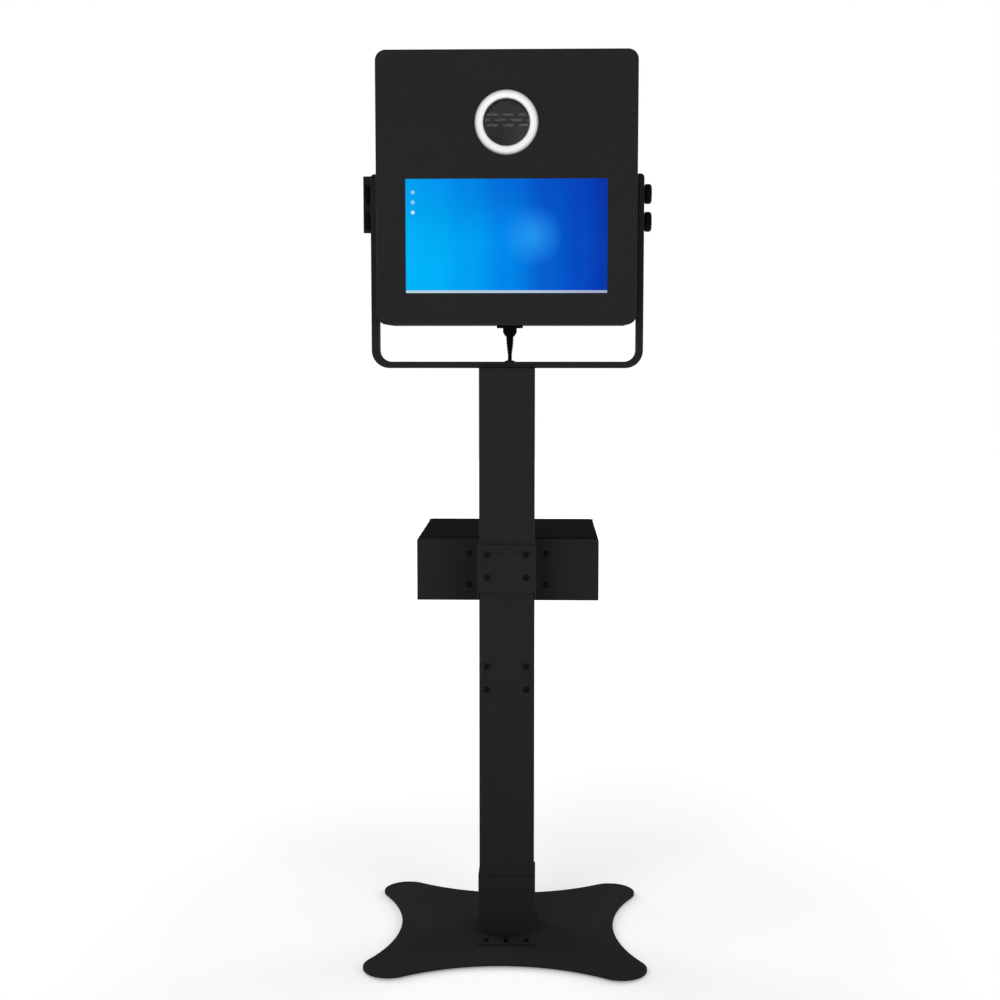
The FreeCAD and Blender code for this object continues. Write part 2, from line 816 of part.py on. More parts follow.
# ---------------------------------------------------------------- power box
def shelf_bracket():
    """A hat section around the column's front, with a flange on the box each side."""
    inside = column_width / 2 + seat_play
    outside = inside + bracket_thickness
    front = -column_depth / 2 - bracket_thickness
    rear = column_depth / 2 + bracket_thickness
    top = bracket_bottom + bracket_height
    shell = block(-outside, outside, front, rear, bracket_bottom, top)
    upright = [e for e in along(shell.Edges, AXIS_Z) if e.CenterOfMass.y < 0]
    shell = shell.makeFillet(bracket_thickness, upright)
    reach = outside + bracket_flange_width
    flanges = block(-reach, reach, rear - bracket_thickness, rear, bracket_bottom, top)
    hollow = block(-inside, inside, front + bracket_thickness, rear, bracket_bottom, top)
    body = shell.fuse(flanges).removeSplitter().cut(hollow)
    web_cut = block(-inside, inside, front - 1, front + bracket_thickness + 1,
                    bracket_bottom, bracket_bottom + bracket_web_cut)
    points = web_screw_points() + flange_screw_points()
    cutters = holes(points, clearance(m6_screw), AXIS_Y, 2 * bracket_thickness)
    return body.cut(cutters + [web_cut])


def box_wall_block(inset, z0, z1):
    half = box_width / 2 - inset
    return block(-half, half, box_front + inset, box_rear - inset, z0, z1)


def rear_cover_screw_points():
    x = (box_width - box_return) / 2 - cover_foot_gap
    heights = (box_bottom + box_rim + cover_screw_margin, box_top - cover_screw_margin)
    return grid((-x, x), heights, box_rear)


def tray_screw_points():
    z = box_bottom + box_rim + tray_lip / 2
    rows = (box_front + tray_screw_margin, box_rear - tray_screw_margin)
    return [Vector(side * box_width / 2, y, z) for side in (-1, 1) for y in rows]


def tray_holes(radius):
    return [rod(radius, point, AXIS_X * (-1 if point.x > 0 else 1), tray_lip)
            for point in tray_screw_points()]


def shelf_box():
    """Top, front and sides of the power box, open below and behind."""
    z0 = box_bottom + box_rim
    outside = box_wall_block(0, z0, box_top)
    bends = [e for e in rim(outside.Edges, box_top) if e.CenterOfMass.y < box_rear - 1]
    outside = outside.makeFillet(box_bend, bends)
    inside = block(-box_width / 2 + box_sheet, box_width / 2 - box_sheet, box_front + box_sheet,
                   box_rear + 1, z0 - 1, box_top - box_sheet)
    bends = [e for e in rim(inside.Edges, box_top - box_sheet) if e.CenterOfMass.y < box_rear]
    inside = inside.makeFillet(box_bend - box_sheet, bends)
    shell = outside.cut(inside)
    half = box_width / 2 - 0.5 * box_sheet
    returns = block(-half, half, box_rear - box_sheet, box_rear, z0, box_top - 0.5 * box_sheet)
    window = block(-half + box_return, half - box_return, box_rear - 2 * box_sheet, box_rear + 1,
                   z0 - 1, box_top - box_return)
    shell = shell.fuse(returns.cut(window)).removeSplitter()
    cutters = holes(flange_screw_points(), clearance(m6_screw), AXIS_Y, 4)
    cutters += holes(rear_cover_screw_points(), clearance(m4_screw), AXIS_Y, 4)
    return shell.cut(cutters + tray_holes(clearance(m4_screw)) + [feed_cutter()])


def shelf_bottom():
    """The tray under the power box: a rim flush with the box, and a lip up inside it."""
    rim_top = box_bottom + box_rim
    tray = box_wall_block(0, box_bottom, rim_top)
    tray = tray.cut(box_wall_block(box_sheet, box_bottom + box_sheet, rim_top))
    lip_out = box_sheet + seat_play
    lip = box_wall_block(lip_out, box_bottom + box_sheet, rim_top + tray_lip)
    lip = lip.cut(box_wall_block(lip_out + box_sheet, box_bottom, rim_top + tray_lip + 1))
    rear_gap = block(-box_width, box_width, box_rear - 4 * box_sheet, box_rear,
                     rim_top, rim_top + 2 * tray_lip)
    bridge = box_wall_block(0.5 * box_sheet, box_bottom, box_bottom + box_rim * 0.6)
    bridge = bridge.cut(box_wall_block(lip_out + box_sheet, box_bottom, rim_top))
    tray = tray.fuse([lip.cut(rear_gap), bridge]).removeSplitter()
    return tray.cut(tray_holes(clearance(m4_screw)))


def mains_cutter(play):
    width, depth, height = mains_body
    return centred_block(width + 2 * play, depth, height + 2 * play,
                         Vector(mains_inlet_x, box_rear, mains_inlet_z))


def mains_face():
    return Vector(mains_inlet_x, box_rear + box_sheet, mains_inlet_z)


def mains_screw_points():
    return [mains_face() + AXIS_X * side * mains_screw_reach for side in (-1, 1)]


def shelf_rear_cover():
    """A flat cover over the box's rear opening, with louvres and the mains inlet."""
    z0, z1 = box_bottom + box_rim + cover_foot_gap, box_top - cover_top_gap
    cover = front_prism(box_width - cover_edge_gap, z1 - z0, cover_corner,
                        box_rear, box_rear + box_sheet, (z0 + z1) / 2)
    slots = []
    for row in range(louvre_rows):
        slot = slot_prism(louvre_length, vent_height, 4 * box_sheet)
        slot.rotate(ORIGIN, AXIS_X, -90)
        z = mains_inlet_z + (row - (louvre_rows - 1) / 2) * louvre_pitch
        slot.translate(Vector(louvre_x, box_rear - box_sheet, z))
        slots.append(slot)
    points = rear_cover_screw_points() + mains_screw_points()
    cutters = slots + holes(points, clearance(m4_screw), AXIS_Y, 4) + [mains_cutter(seat_play)]
    return cover.cut(cutters)


def sunk_block(size, x, face):
    """A block of (width, height, depth) sunk into the inlet from its face, x from its middle."""
    width, height, depth = size
    return centred_block(width, depth, height, face + Vector(x, -depth / 2 + mains_flange_thickness, 0))


def mains_inlet():
    """A mains inlet with a pocket for a rocker switch, flanged on the rear cover."""
    face = mains_face()
    width, height, corner = mains_flange
    flange = front_prism(width, height, corner, face.y, face.y + mains_flange_thickness, face.z, face.x)
    body = centred_block(*mains_body, face - AXIS_Y * mains_body[1] / 2)
    body = flange.fuse(body).removeSplitter()
    socket = sunk_block(mains_socket, mains_socket_x, face)
    pocket = sunk_block(rocker_pocket, rocker_x, face)
    pin_y = face.y + mains_flange_thickness - mains_socket[2]
    pin_middle = Vector(face.x + mains_socket_x, pin_y + mains_pin[1] / 2 - bush_fit, face.z)
    pins = [centred_block(*mains_pin, pin_middle + Vector(dx, 0, dz)) for dx, dz in mains_pin_places]
    hole = holes(mains_screw_points(), clearance(m4_screw), AXIS_Y, 2 * mains_flange_thickness)
    return body.cut([socket, pocket] + hole).fuse(pins)


def rocker_switch():
    """The rocker in the inlet's pocket, tipped to its off side."""
    centre = mains_face() + Vector(rocker_x, -rocker_axis_depth, 0)
    foot_depth, foot_half = rocker_foot
    side = (rocker_crest - rocker_axis_depth) / 2
    outline = [
        Vector(0, -foot_depth, -foot_half), Vector(0, -foot_depth, foot_half), Vector(0, side, rocker_reach),
        Vector(0, rocker_crest, rocker_reach), Vector(0, rocker_valley, 0),
        Vector(0, rocker_crest, -rocker_reach), Vector(0, side, -rocker_reach),
    ]
    face = Part.Face(Part.makePolygon(outline + outline[:1]))
    body = face.extrude(AXIS_X * rocker_width)
    body.translate(centre - AXIS_X * rocker_width / 2)
    body.rotate(centre, AXIS_X, rocker_tip)
    return body


def shelf_feed_grommet():
    """A rubber bush from inside the column to inside the box."""
    y0 = column_depth / 2 - column_wall
    length = box_front + box_sheet - y0
    outer = feed_radius - bush_fit
    profile = [
        (feed_bore, -feed_flange), (feed_flange_radius, -feed_flange), (feed_flange_radius, 0), (outer, 0),
        (outer, length), (feed_flange_radius, length), (feed_flange_radius, length + feed_flange),
        (feed_bore, length + feed_flange),
    ]
    return turned(profile, Vector(0, y0, feed_z), AXIS_Y)


def strip_front():
    return box_front + strip_behind_front


def outlet_centres():
    z = box_bottom + box_sheet + strip_height / 2
    return [Vector(outlet_pitch * (i - outlet_count / 2), strip_front(), z) for i in range(outlet_count)]


def strip_plug_seat():
    """The floor of the outlet that the plug is in."""
    return outlet_centres()[outlet_count // 2] + AXIS_Y * plug_block_inside


def power_strip():
    """An outlet strip on the tray, its outlets to the front."""
    y = strip_front()
    z0 = box_bottom + box_sheet
    body = block(-strip_length / 2, strip_length / 2, y, y + strip_depth, z0, z0 + strip_height)
    body = body.makeFillet(strip_edge_round, body.Edges)
    sockets = [centred_block(outlet_width, 2 * outlet_depth, outlet_height, centre)
               for centre in outlet_centres()]
    return body.cut(sockets)


def strip_plug():
    """The cord's far plug, in one of the strip's outlets."""
    seat = strip_plug_seat()
    body = centred_block(plug_block_width, plug_block_length, plug_block_height,
                         seat - AXIS_Y * plug_block_length / 2)
    body = body.makeFillet(plug_block_round, along(body.Edges, AXIS_Y))
    profile = [(0, 0), (plug_block_relief_radius, 0),
               (cord_radius + 1, plug_block_relief), (0, plug_block_relief)]
    relief = turned(profile, seat - AXIS_Y * plug_block_length, -AXIS_Y)
    return body.fuse(relief).removeSplitter()


def shelf_screws():
    """The M4 screws of the power box: tray, rear cover and mains inlet."""
    screws = []
    for point in tray_screw_points():
        screws.append(screw(m4_screw, m4_length, point, AXIS_X * (1 if point.x > 0 else -1)))
    for point in rear_cover_screw_points():
        screws.append(screw(m4_screw, m4_length, point + AXIS_Y * box_sheet, AXIS_Y))
    for point in mains_screw_points():
        screws.append(screw(m4_screw, m4_length, point + AXIS_Y * mains_flange_thickness, AXIS_Y))
    return screws


def power_cord():
    """The cord from the head's plug, through the yoke, down the column and into the power box."""
    end = strip_plug_seat() - AXIS_Y * (plug_block_length + plug_block_relief)
    return cord("power_cord", [
        Vector(inlet_x, 0, relief_bottom),
        Vector(inlet_x, 0, bar_top - 15),
        Vector(1.5, 2.5, 965.0),
        Vector(-5.0, 9.0, 892.0),
        Vector(-3.0, 12.0, 812.0),
        Vector(5.0, 2.0, 748.0),
        Vector(5.0, -11.0, 706.0),
        Vector(2.0, -8.0, 668.0),
        Vector(0.0, 15.0, feed_z - 1.0),
        Vector(0.0, 52.0, feed_z + 0.5),
        Vector(-9.0, 84.0, feed_z - 6.0),
        end - AXIS_Y * 24,
        end,
    ], cord_radius)


def strip_lead():
    """The lead between the mains inlet and the strip, inside the power box."""
    start = mains_face() + Vector(mains_socket_x, -mains_body[1], 0)
    end = Vector(mains_inlet_x, strip_front() + strip_depth, box_bottom + box_sheet + strip_height / 2)
    return cord("strip_lead", [
        start,
        start - AXIS_Y * 22,
        start + Vector(-2.0, -46, -8.0),
        end + Vector(-1.0, 32, 4.0),
        end + AXIS_Y * 17,
        end,
    ], cord_radius)


# ---------------------------------------------------------------- head shell and door
def stud_points(side):
    return [Vector(side * head_width / 2, 0, z) for z in (pivot_z, lock_z)]


def ring_screw_points():
    r = (housing_flange_radius + housing_outer) / 2
    return [Vector(sx * r / math.sqrt(2), inner_front, ring_z + sz * r / math.sqrt(2))
            for sx in (-1, 1) for sz in (-1, 1)]


def clamp_x():
    return screen_width / 2 - clamp_lap + clamp_width - clamp_screw_inset


def display_screw_points():
    reach = screen_height / 2 - display_screw_inset
    return grid((-clamp_x(), clamp_x()), (screen_z - reach, screen_z + reach), clamp_back)


def shelf_fixing_points():
    return grid((-clamp_x(), clamp_x()), (camera_shelf_top - shelf_fixing_drop,), clamp_back)


def inlet_screw_points():
    x = inlet_flange_width / 2 - inlet_screw_inset
    return [Vector(inlet_x + side * x, 0, head_bottom - inlet_flange_thickness) for side in (-1, 1)]


def head_shell():
    """Front, sides and rear frame of the head, bent and welded from sheet."""
    outside = front_prism(head_width, head_height, head_corner, head_front, head_rear, head_middle)
    outside = outside.makeFillet(head_front_round, rim(outside.Edges, head_front, "y"))
    outside = outside.makeFillet(head_rear_round, rim(outside.Edges, head_rear, "y"))
    inside = front_prism(head_width - 2 * head_sheet, head_height - 2 * head_sheet, head_corner - head_sheet,
                         inner_front, inner_rear, head_middle)
    inside = inside.makeFillet(head_front_round - head_sheet, rim(inside.Edges, inner_front, "y"))
    lip = front_prism(door_width + 2 * head_sheet, door_height + 2 * head_sheet, door_corner,
                      inner_rear - frame_lip, inner_rear + 0.5 * head_sheet, head_middle)
    doorway = front_prism(door_width, door_height, doorway_corner, inner_rear - frame_lip - 1, head_rear + 1,
                          head_middle)
    shell = outside.cut(inside).fuse(lip).removeSplitter().cut(doorway)
    screen = front_prism(screen_width, screen_height, screen_corner, head_front - 1, inner_front + 1,
                         screen_z)
    ring = rod(ring_skirt_radius + seat_play, Vector(0, head_front - 1, ring_z), AXIS_Y, head_sheet + 2)
    inlet = centred_block(inlet_body_width + 2 * seat_play, inlet_body_depth + 2 * seat_play, 4 * head_sheet,
                          Vector(inlet_x, 0, head_bottom))
    cutters = [screen, ring, inlet]
    cutters += holes(stud_points(1) + stud_points(-1), clearance(m8_screw), AXIS_X, 2 * head_sheet)
    cutters += holes(inlet_screw_points(), clearance(m4_screw), AXIS_Z, 2 * inlet_flange_thickness)
    return shell.cut(cutters)


def side_plates():
    """Stiffening plates inside the head where the knob studs screw in."""
    outer = head_width / 2 - head_sheet
    plate = block(outer - side_plate_thickness, outer, -side_plate_margin, side_plate_margin,
                  lock_z - side_plate_margin, pivot_z + side_plate_margin)
    plate = plate.cut(holes(stud_points(1), clearance(m8_screw), AXIS_X, 4 * side_plate_thickness))
    return both_sides(plate)


def weld_nuts():
    nuts = []
    seat_x = head_width / 2 - head_sheet - side_plate_thickness
    for z in (pivot_z, lock_z):
        body = hexagon(weld_nut_across, weld_nut_thickness)
        body = body.cut(rod(stud_radius + running_fit, ORIGIN, AXIS_Z, weld_nut_thickness))
        nuts += both_sides(aimed(body, Vector(seat_x, 0, z), -AXIS_X))
    return nuts


def tilt_washers():
    """Friction discs between the head and the yoke's arms."""
    thickness = yoke_inside - slip - head_width / 2
    discs = []
    for z in (pivot_z, lock_z):
        centre = Vector(head_width / 2, 0, z)
        disc = rod(washer_radius, centre, AXIS_X, thickness)
        discs += both_sides(disc.cut(rod(stud_radius + seat_play, centre, AXIS_X, thickness)))
    return discs


def vent_slots(centre_z):
    slots = []
    for row in range(vent_rows):
        shift = 0.5 * vent_pitch_x if row % 2 else 0.0
        for column in range(vent_columns - row % 2):
            x = (column - (vent_columns - 1) / 2) * vent_pitch_x + shift
            z = centre_z + (row - (vent_rows - 1) / 2) * vent_pitch_z
            slot = slot_prism(vent_length, vent_height, 4 * head_sheet)
            slot.rotate(ORIGIN, AXIS_X, -90)
            slot.translate(Vector(x, inner_rear - head_sheet, z))
            slots.append(slot)
    return slots


def hinge_x():
    return door_width / 2


def hinge_y():
    return head_rear + knuckle_radius


def lock_centre():
    return Vector(-door_width / 2 + lock_inset + lock_radius_body, head_rear, head_middle)


def rear_door():
    """A flat door flush in the rear frame, folded in at top and bottom, with vent slots."""
    half_w = door_width / 2 - door_gap
    half_h = door_height / 2 - door_gap
    panel = front_prism(2 * half_w, 2 * half_h, door_corner, inner_rear, head_rear, head_middle)
    folds = []
    for side in (-1, 1):
        edge = head_middle + side * (half_h - door_fold_inset)
        low, high = sorted((edge, edge - side * head_sheet))
        reach = half_w - door_fold_end
        folds.append(block(-reach, reach, inner_rear - door_fold, inner_rear + head_sheet / 3, low, high))
    door = panel.fuse(folds).removeSplitter()
    lock = holes([lock_centre()], lock_radius_body + seat_play, AXIS_Y, 2 * head_sheet)
    leaf_holes = holes(leaf_screw_points(-1), clearance(m4_screw), AXIS_Y, 4 * head_sheet)
    low_vents = vent_slots(head_middle - half_h + low_vent_above_door)
    return door.cut(vent_slots(ring_z + vent_above_ring) + low_vents + lock + leaf_holes)


def hinge_heights():
    return [head_middle + side * (door_height / 2 - hinge_inset) for side in (-1, 1)]


def leaf(side, segments, z):
    """One leaf of a hinge: side 1 on the frame, side -1 on the door, with the given knuckles."""
    half = hinge_leaf_height / 2
    start = knuckle_radius + slip
    plate = block(start, hinge_leaf_width, 0, hinge_leaf_thickness, -half, half)
    free_corners = [e for e in along(plate.Edges, AXIS_Y) if e.CenterOfMass.x > start + 1]
    plate = plate.makeFillet(hinge_leaf_corner, free_corners)
    parts = []
    for low, high in segments:
        parts.append(rod(knuckle_radius, Vector(0, knuckle_radius, low), AXIS_Z, high - low))
        parts.append(block(0, 2 * start, 0, hinge_leaf_thickness, low, high))
    body = plate.fuse(parts).removeSplitter()
    body = body.cut(rod(hinge_pin_radius + running_fit, Vector(0, knuckle_radius, -half), AXIS_Z, 2 * half))
    for dz in pair(2 * hinge_screw_rise * hinge_leaf_height):
        point = Vector(hinge_screw_reach * hinge_leaf_width, 0, dz)
        body = body.cut(holes([point], clearance(m4_screw), AXIS_Y, 2 * hinge_leaf_thickness))
    if side < 0:
        body = mirrored(body)
    body.translate(Vector(hinge_x(), head_rear, z))
    return body


def knuckle_ends():
    half = hinge_leaf_height / 2
    third = hinge_leaf_height / 3
    return half, half - third


def frame_hinge_leaves():
    half, inner = knuckle_ends()
    return [leaf(1, ((-half, -inner), (inner, half)), z) for z in hinge_heights()]


def door_hinge_leaves():
    inner = knuckle_ends()[1] - slip
    return [leaf(-1, ((-inner, inner),), z) for z in hinge_heights()]


def hinge_pins():
    half = hinge_leaf_height / 2
    pins = []
    for z in hinge_heights():
        foot = Vector(hinge_x(), hinge_y(), z - half - pin_head)
        pin = rod(hinge_pin_radius, foot, AXIS_Z, 2 * (half + pin_head))
        top = foot + AXIS_Z * (2 * half + pin_head)
        pins.append(pin.fuse([rod(knuckle_radius, end, AXIS_Z, pin_head) for end in (foot, top)]))
    return pins


def leaf_screw_points(side):
    rise = hinge_screw_rise * hinge_leaf_height
    x = hinge_x() + side * hinge_screw_reach * hinge_leaf_width
    y = head_rear + hinge_leaf_thickness
    return [Vector(x, y, z + s * rise) for z in hinge_heights() for s in (-1, 1)]


def door_screws():
    return [screw(m4_screw, shelf_screw_length, point, AXIS_Y) for point in leaf_screw_points(-1)]


def lock_body():
    """The fixed barrel of the cam lock."""
    length = frame_lip + lock_barrel_past_lip
    bore = lock_plug_radius + running_fit
    flange = lock_radius_body + lock_flange
    chamfer = lock_flange - lock_flange_edge
    profile = [
        (bore, -length), (lock_radius_body, -length), (lock_radius_body, 0),
        (flange, 0), (flange, lock_flange_edge), (flange - chamfer, lock_flange), (bore, lock_flange),
    ]
    return turned(profile, lock_centre(), AXIS_Y)


def lock_cam():
    """The turning plug of the lock with its key slot and the cam on its inner end."""
    centre = lock_centre()
    depth = frame_lip + lock_barrel_past_lip + slip
    plug = rod(lock_plug_radius, centre - AXIS_Y * depth, AXIS_Y, depth + lock_plug_proud)
    width, height = key_slot
    slot = centred_block(width, height, height, centre + AXIS_Y * (lock_plug_proud - bush_fit))
    length = lock_inset + lock_radius_body + cam_past_edge + cam_tail
    cam = slot_prism(length, cam_width, cam_thickness)
    cam.translate(Vector(length / 2 - cam_tail + 2, 0, 0))
    cam.rotate(ORIGIN, AXIS_X, 90)
    cam.rotate(ORIGIN, AXIS_Y, -90)
    cam.translate(centre - AXIS_Y * depth)
    return plug.cut(slot).fuse(cam).removeSplitter()


# ---------------------------------------------------------------- ring light
def ring_diffuser():
    """The translucent ring, round in section, with a skirt through the front panel."""
    r0, r1 = ring_inner_radius, ring_outer_radius
    middle = (r0 + r1) / 2
    face = Vector(0, head_front, ring_z)
    skirt_in = r0 + ring_inner_lap
    shoulder = ring_shoulder * ring_height
    corners = [Vector(r0, 0, shoulder), Vector(r0, 0, 0), Vector(r1, 0, 0), Vector(r1, 0, shoulder)]
    edges = [Part.Arc(corners[0], Vector(middle, 0, ring_height), corners[-1]).toShape()]
    for first, second in zip(corners, corners[1:]):
        edges.append(Part.LineSegment(first, second).toShape())
    edges = Part.__sortEdges__(edges)
    ring = Part.Face(Part.Wire(edges)).revolve(ORIGIN, AXIS_Z, 360)
    wall_inside = ring_skirt_radius - diffuser_skirt_wall
    skirt = rod(ring_skirt_radius, Vector(0, 0, -diffuser_skirt), AXIS_Z, diffuser_skirt + 1)
    skirt = skirt.cut(rod(wall_inside, Vector(0, 0, -diffuser_skirt - 1), AXIS_Z, diffuser_skirt + 0.9))
    skirt = skirt.cut(rod(skirt_in, Vector(0, 0, -diffuser_skirt - 1), AXIS_Z, diffuser_skirt + 3))
    ring = ring.fuse(skirt).removeSplitter()
    return aimed(ring, face, -AXIS_Y)


def ring_housing():
    """A turned channel behind the front panel: port wall, floor and flange."""
    outer = housing_outer
    port = ring_inner_radius - seat_play
    depth = housing_depth
    profile = [
        (port - port_wall, -port_lead), (port, -port_lead), (port, depth - port_wall),
        (outer - port_wall, depth - port_wall), (outer - port_wall, 0),
        (housing_flange_radius, 0), (housing_flange_radius, port_wall),
        (outer, port_wall), (outer, depth), (port - port_wall, depth),
    ]
    body = turned(profile, Vector(0, inner_front, ring_z), AXIS_Y)
    return body.cut(holes(ring_screw_points(), clearance(m4_screw), AXIS_Y, 2 * port_wall))


def ring_led_board():
    """The ring-shaped board on the housing's floor, with its lamps."""
    floor = inner_front + housing_depth - port_wall
    centre = Vector(0, floor - led_board_thickness, ring_z)
    inner, outer = ring_inner_radius + board_play, ring_skirt_radius - board_play
    board = rod(outer, centre, AXIS_Y, led_board_thickness)
    board = board.cut(rod(inner, centre, AXIS_Y, led_board_thickness))
    middle = (inner + outer) / 2
    lamps = []
    for i in range(led_count):
        lamp = centred_block(led_size, led_height + bush_fit, led_size,
                             centre + Vector(0, -(led_height - bush_fit) / 2, middle))
        lamp.rotate(centre, AXIS_Y, 360.0 * i / led_count)
        lamps.append(lamp)
    return board.fuse(lamps)


# ---------------------------------------------------------------- display and electronics
def display_part(margin, y0, y1, corner):
    return front_prism(screen_width + 2 * margin, screen_height + 2 * margin, corner, y0, y1, screen_z)


def display_clamps():
    """Upright bars behind the display's ends, carried on to the camera shelf."""
    x0 = screen_width / 2 - clamp_lap
    z0 = screen_z - screen_height / 2 - glass_margin
    z1 = max(screen_z + screen_height / 2 + clamp_rise, camera_shelf_top)
    bar = block(x0, x0 + clamp_width, lcd_back, clamp_back, z0, z1)
    points = [p for p in display_screw_points() + shelf_fixing_points() if p.x > 0]
    return both_sides(bar.cut(holes(points, clearance(m4_screw), AXIS_Y, 2 * clamp_thickness)))


def display_standoffs():
    """Posts on the front panel's inner face that the clamps are screwed to."""
    posts = []
    for point in display_screw_points():
        foot = Vector(point.x, inner_front, point.z)
        length = lcd_back - inner_front
        post = rod(standoff_radius, foot, AXIS_Y, length)
        thread = rod(m4_screw[2] + running_fit, foot + AXIS_Y * standoff_floor, AXIS_Y, length)
        posts.append(post.cut(thread))
    return posts


def equipment_plate():
    """The plate behind the display, notched around the display's screws."""
    half = clamp_x() + clamp_screw_inset
    rise = equipment_height / 2
    plate = block(-half, half, clamp_back, plate_back, screen_z - rise, screen_z + rise)
    width, height = screw_notch
    notches = [centred_block(width, 4 * plate_thickness, height, point) for point in display_screw_points()]
    return plate.cut(notches)


def mini_pc():
    """A small fanless computer with cooling fins on its rear face."""
    z0, z1 = screen_z + pc_z[0], screen_z + pc_z[1]
    back = plate_back + pc_depth
    body = block(*pc_x, plate_back, back, z0, z1)
    body = body.makeFillet(pc_corner, along(body.Edges, AXIS_Y))
    beside, above = pc_fin_margin
    gaps = []
    for i in range(pc_fin_count):
        x = pc_x[0] + beside + pc_fin_pitch * i
        gaps.append(block(x, x + pc_fin_gap, back - pc_fin_depth, back + 1, z0 + above, z1 - above))
    return body.cut(gaps)


def led_driver():
    """The ring light's driver, with terminals at its outer end."""
    half = driver_height / 2
    body = block(*driver_x, plate_back, plate_back + driver_depth, screen_z - half, screen_z + half)
    body = body.makeFillet(driver_round, body.Edges)
    end = driver_x[1]
    terminals = block(end, end + terminal_length, plate_back, plate_back + terminal_depth,
                      screen_z - terminal_height / 2, screen_z + terminal_height / 2)
    return body.fuse(terminals).removeSplitter()


def supply_top():
    return head_bottom + head_sheet + supply_height


def power_supply():
    """The low-voltage supply, on the head's floor beside the inlet."""
    floor = head_bottom + head_sheet
    body = block(*supply_x, *supply_y, floor, supply_top())
    return body.makeFillet(supply_round, [e for e in body.Edges if e.CenterOfMass.z > floor + 1])


def head_wiring():
    """The leads inside the head, each from the face of one piece to the face of the next."""
    inlet_top = head_bottom + inlet_body_height - inlet_flange_thickness
    pc_bottom, pc_top = screen_z + pc_z[0], screen_z + pc_z[1]
    pc_middle = plate_back + pc_depth / 2
    driver_middle = plate_back + driver_depth / 2
    terminal = Vector(driver_x[1] + terminal_length, plate_back + terminal_depth / 2, screen_z)
    top = supply_top()
    ring_side = Vector(housing_outer, inner_front + housing_depth * 0.6, ring_z)
    routes = {
        "inlet to supply": [
            Vector(4, 4, inlet_top), Vector(4, 4, inlet_top + 24), Vector(-8, 6, inlet_top + 46),
            Vector(-33, 8, inlet_top + 56), Vector(-58, 9, top + 32), Vector(-70, 10, top + 15),
            Vector(-70, 10, top),
        ],
        "supply to computer": [
            Vector(-110, -2, top), Vector(-110, -2, top + 14), Vector(-111, -14, top + 23),
            Vector(-112, -31, top + 27), Vector(-112, pc_middle, pc_bottom - 14),
            Vector(-112, pc_middle, pc_bottom),
        ],
        "supply to driver": [
            Vector(-60, -12, top), Vector(-60, -12, top + 18), Vector(-45, -18, top + 32),
            Vector(-18, -28, top + 40), Vector(14, -38, top + 50), Vector(40, driver_middle, top + 60),
            Vector(52, driver_middle, screen_z - driver_height / 2 - 16),
            Vector(52, driver_middle, screen_z - driver_height / 2),
        ],
        "computer to display": [
            Vector(-85, pc_middle, pc_top), Vector(-85, pc_middle, pc_top + 32),
            Vector(-85, lcd_back, pc_top + 33),
        ],
        "driver to ring light": [
            terminal, terminal + Vector(14, 0, 1), terminal + Vector(24, 0, 20),
            Vector(152, -55, screen_z + 60), Vector(150, -56, screen_z + 108),
            Vector(142, -57, camera_shelf_top + 2), Vector(122, -60, camera_shelf_top + 26),
            Vector(98, -62, ring_z - 7), ring_side + AXIS_X * 22, ring_side,
        ],
    }
    return [cord(name, points, wire_radius) for name, points in routes.items()]


# ---------------------------------------------------------------- camera mount
def camera_shelf():
    """A folded shelf on the display clamps, with a slot for the camera's screw."""
    top = camera_shelf_top
    t = camera_shelf_thickness
    y0, y1 = clamp_back, clamp_back + camera_shelf_depth
    half = camera_shelf_width / 2
    reach = clamp_x() + clamp_screw_inset
    plate = block(-half, half, y0, y1, top - t, top)
    front = block(-reach, reach, y0, y0 + t, top - camera_shelf_front, top)
    folds = [block(x, x + t, y0, y1, top - camera_shelf_fold, top) for x in (-half, half - t)]
    body = plate.fuse([front] + folds).removeSplitter()
    slot = slot_prism(2 * camera_travel + slot_width + 1, slot_width, 4 * t)
    slot.rotate(ORIGIN, AXIS_Z, 90)
    slot.translate(Vector(0, camera_plate_y(), top - 2 * t))
    housing = rod(housing_outer + 3 * slip, Vector(0, inner_front, ring_z), AXIS_Y,
                  housing_depth + 2 * slip)
    fixings = holes(shelf_fixing_points(), clearance(m4_screw), AXIS_Y, 2 * t)
    return body.cut(fixings + [slot, housing])


def camera_plate_y():
    return clamp_back + camera_shelf_depth / 2 + camera_behind_middle


def camera_plate():
    """The sliding plate under the camera, with grooves in its top."""
    z0 = camera_shelf_top + slip
    centre = Vector(0, camera_plate_y(), z0)
    plate = rounded_prism(camera_plate_width, camera_plate_depth, camera_plate_corner, camera_plate_thickness)
    plate.translate(centre)
    groove_z = camera_plate_thickness - camera_rib / 4
    grooves = [centred_block(camera_plate_width - 2 * camera_plate_corner, camera_rib, camera_rib,
                             centre + Vector(0, place, groove_z)) for place in camera_rib_places]
    hole = rod(camera_shoulder_radius + running_fit, centre, AXIS_Z, 3 * camera_plate_thickness)
    return plate.cut([hole] + grooves)


def camera_screw():
    """The camera's thumb screw, up through the shelf's slot and the sliding plate."""
    foot = camera_shelf_top - camera_shelf_thickness - slip
    plate_top = camera_shelf_top + slip + camera_plate_thickness
    base = Vector(0, camera_plate_y(), foot - thumb_height)
    head = rod(thumb_radius, base, AXIS_Z, thumb_height)
    flutes = []
    for i in range(thumb_flutes):
        angle = math.radians(360.0 * i / thumb_flutes)
        offset = Vector(math.cos(angle), math.sin(angle), 0) * (thumb_radius + thumb_flute_radius / 2)
        flutes.append(rod(thumb_flute_radius, base + offset, AXIS_Z, thumb_height))
    shoulder = rod(camera_shoulder_radius, base, AXIS_Z, plate_top - base.z)
    stud = rod(camera_stud_radius, Vector(0, camera_plate_y(), plate_top), AXIS_Z, camera_stud_proud)
    return head.cut(flutes).fuse([shoulder, stud]).removeSplitter()


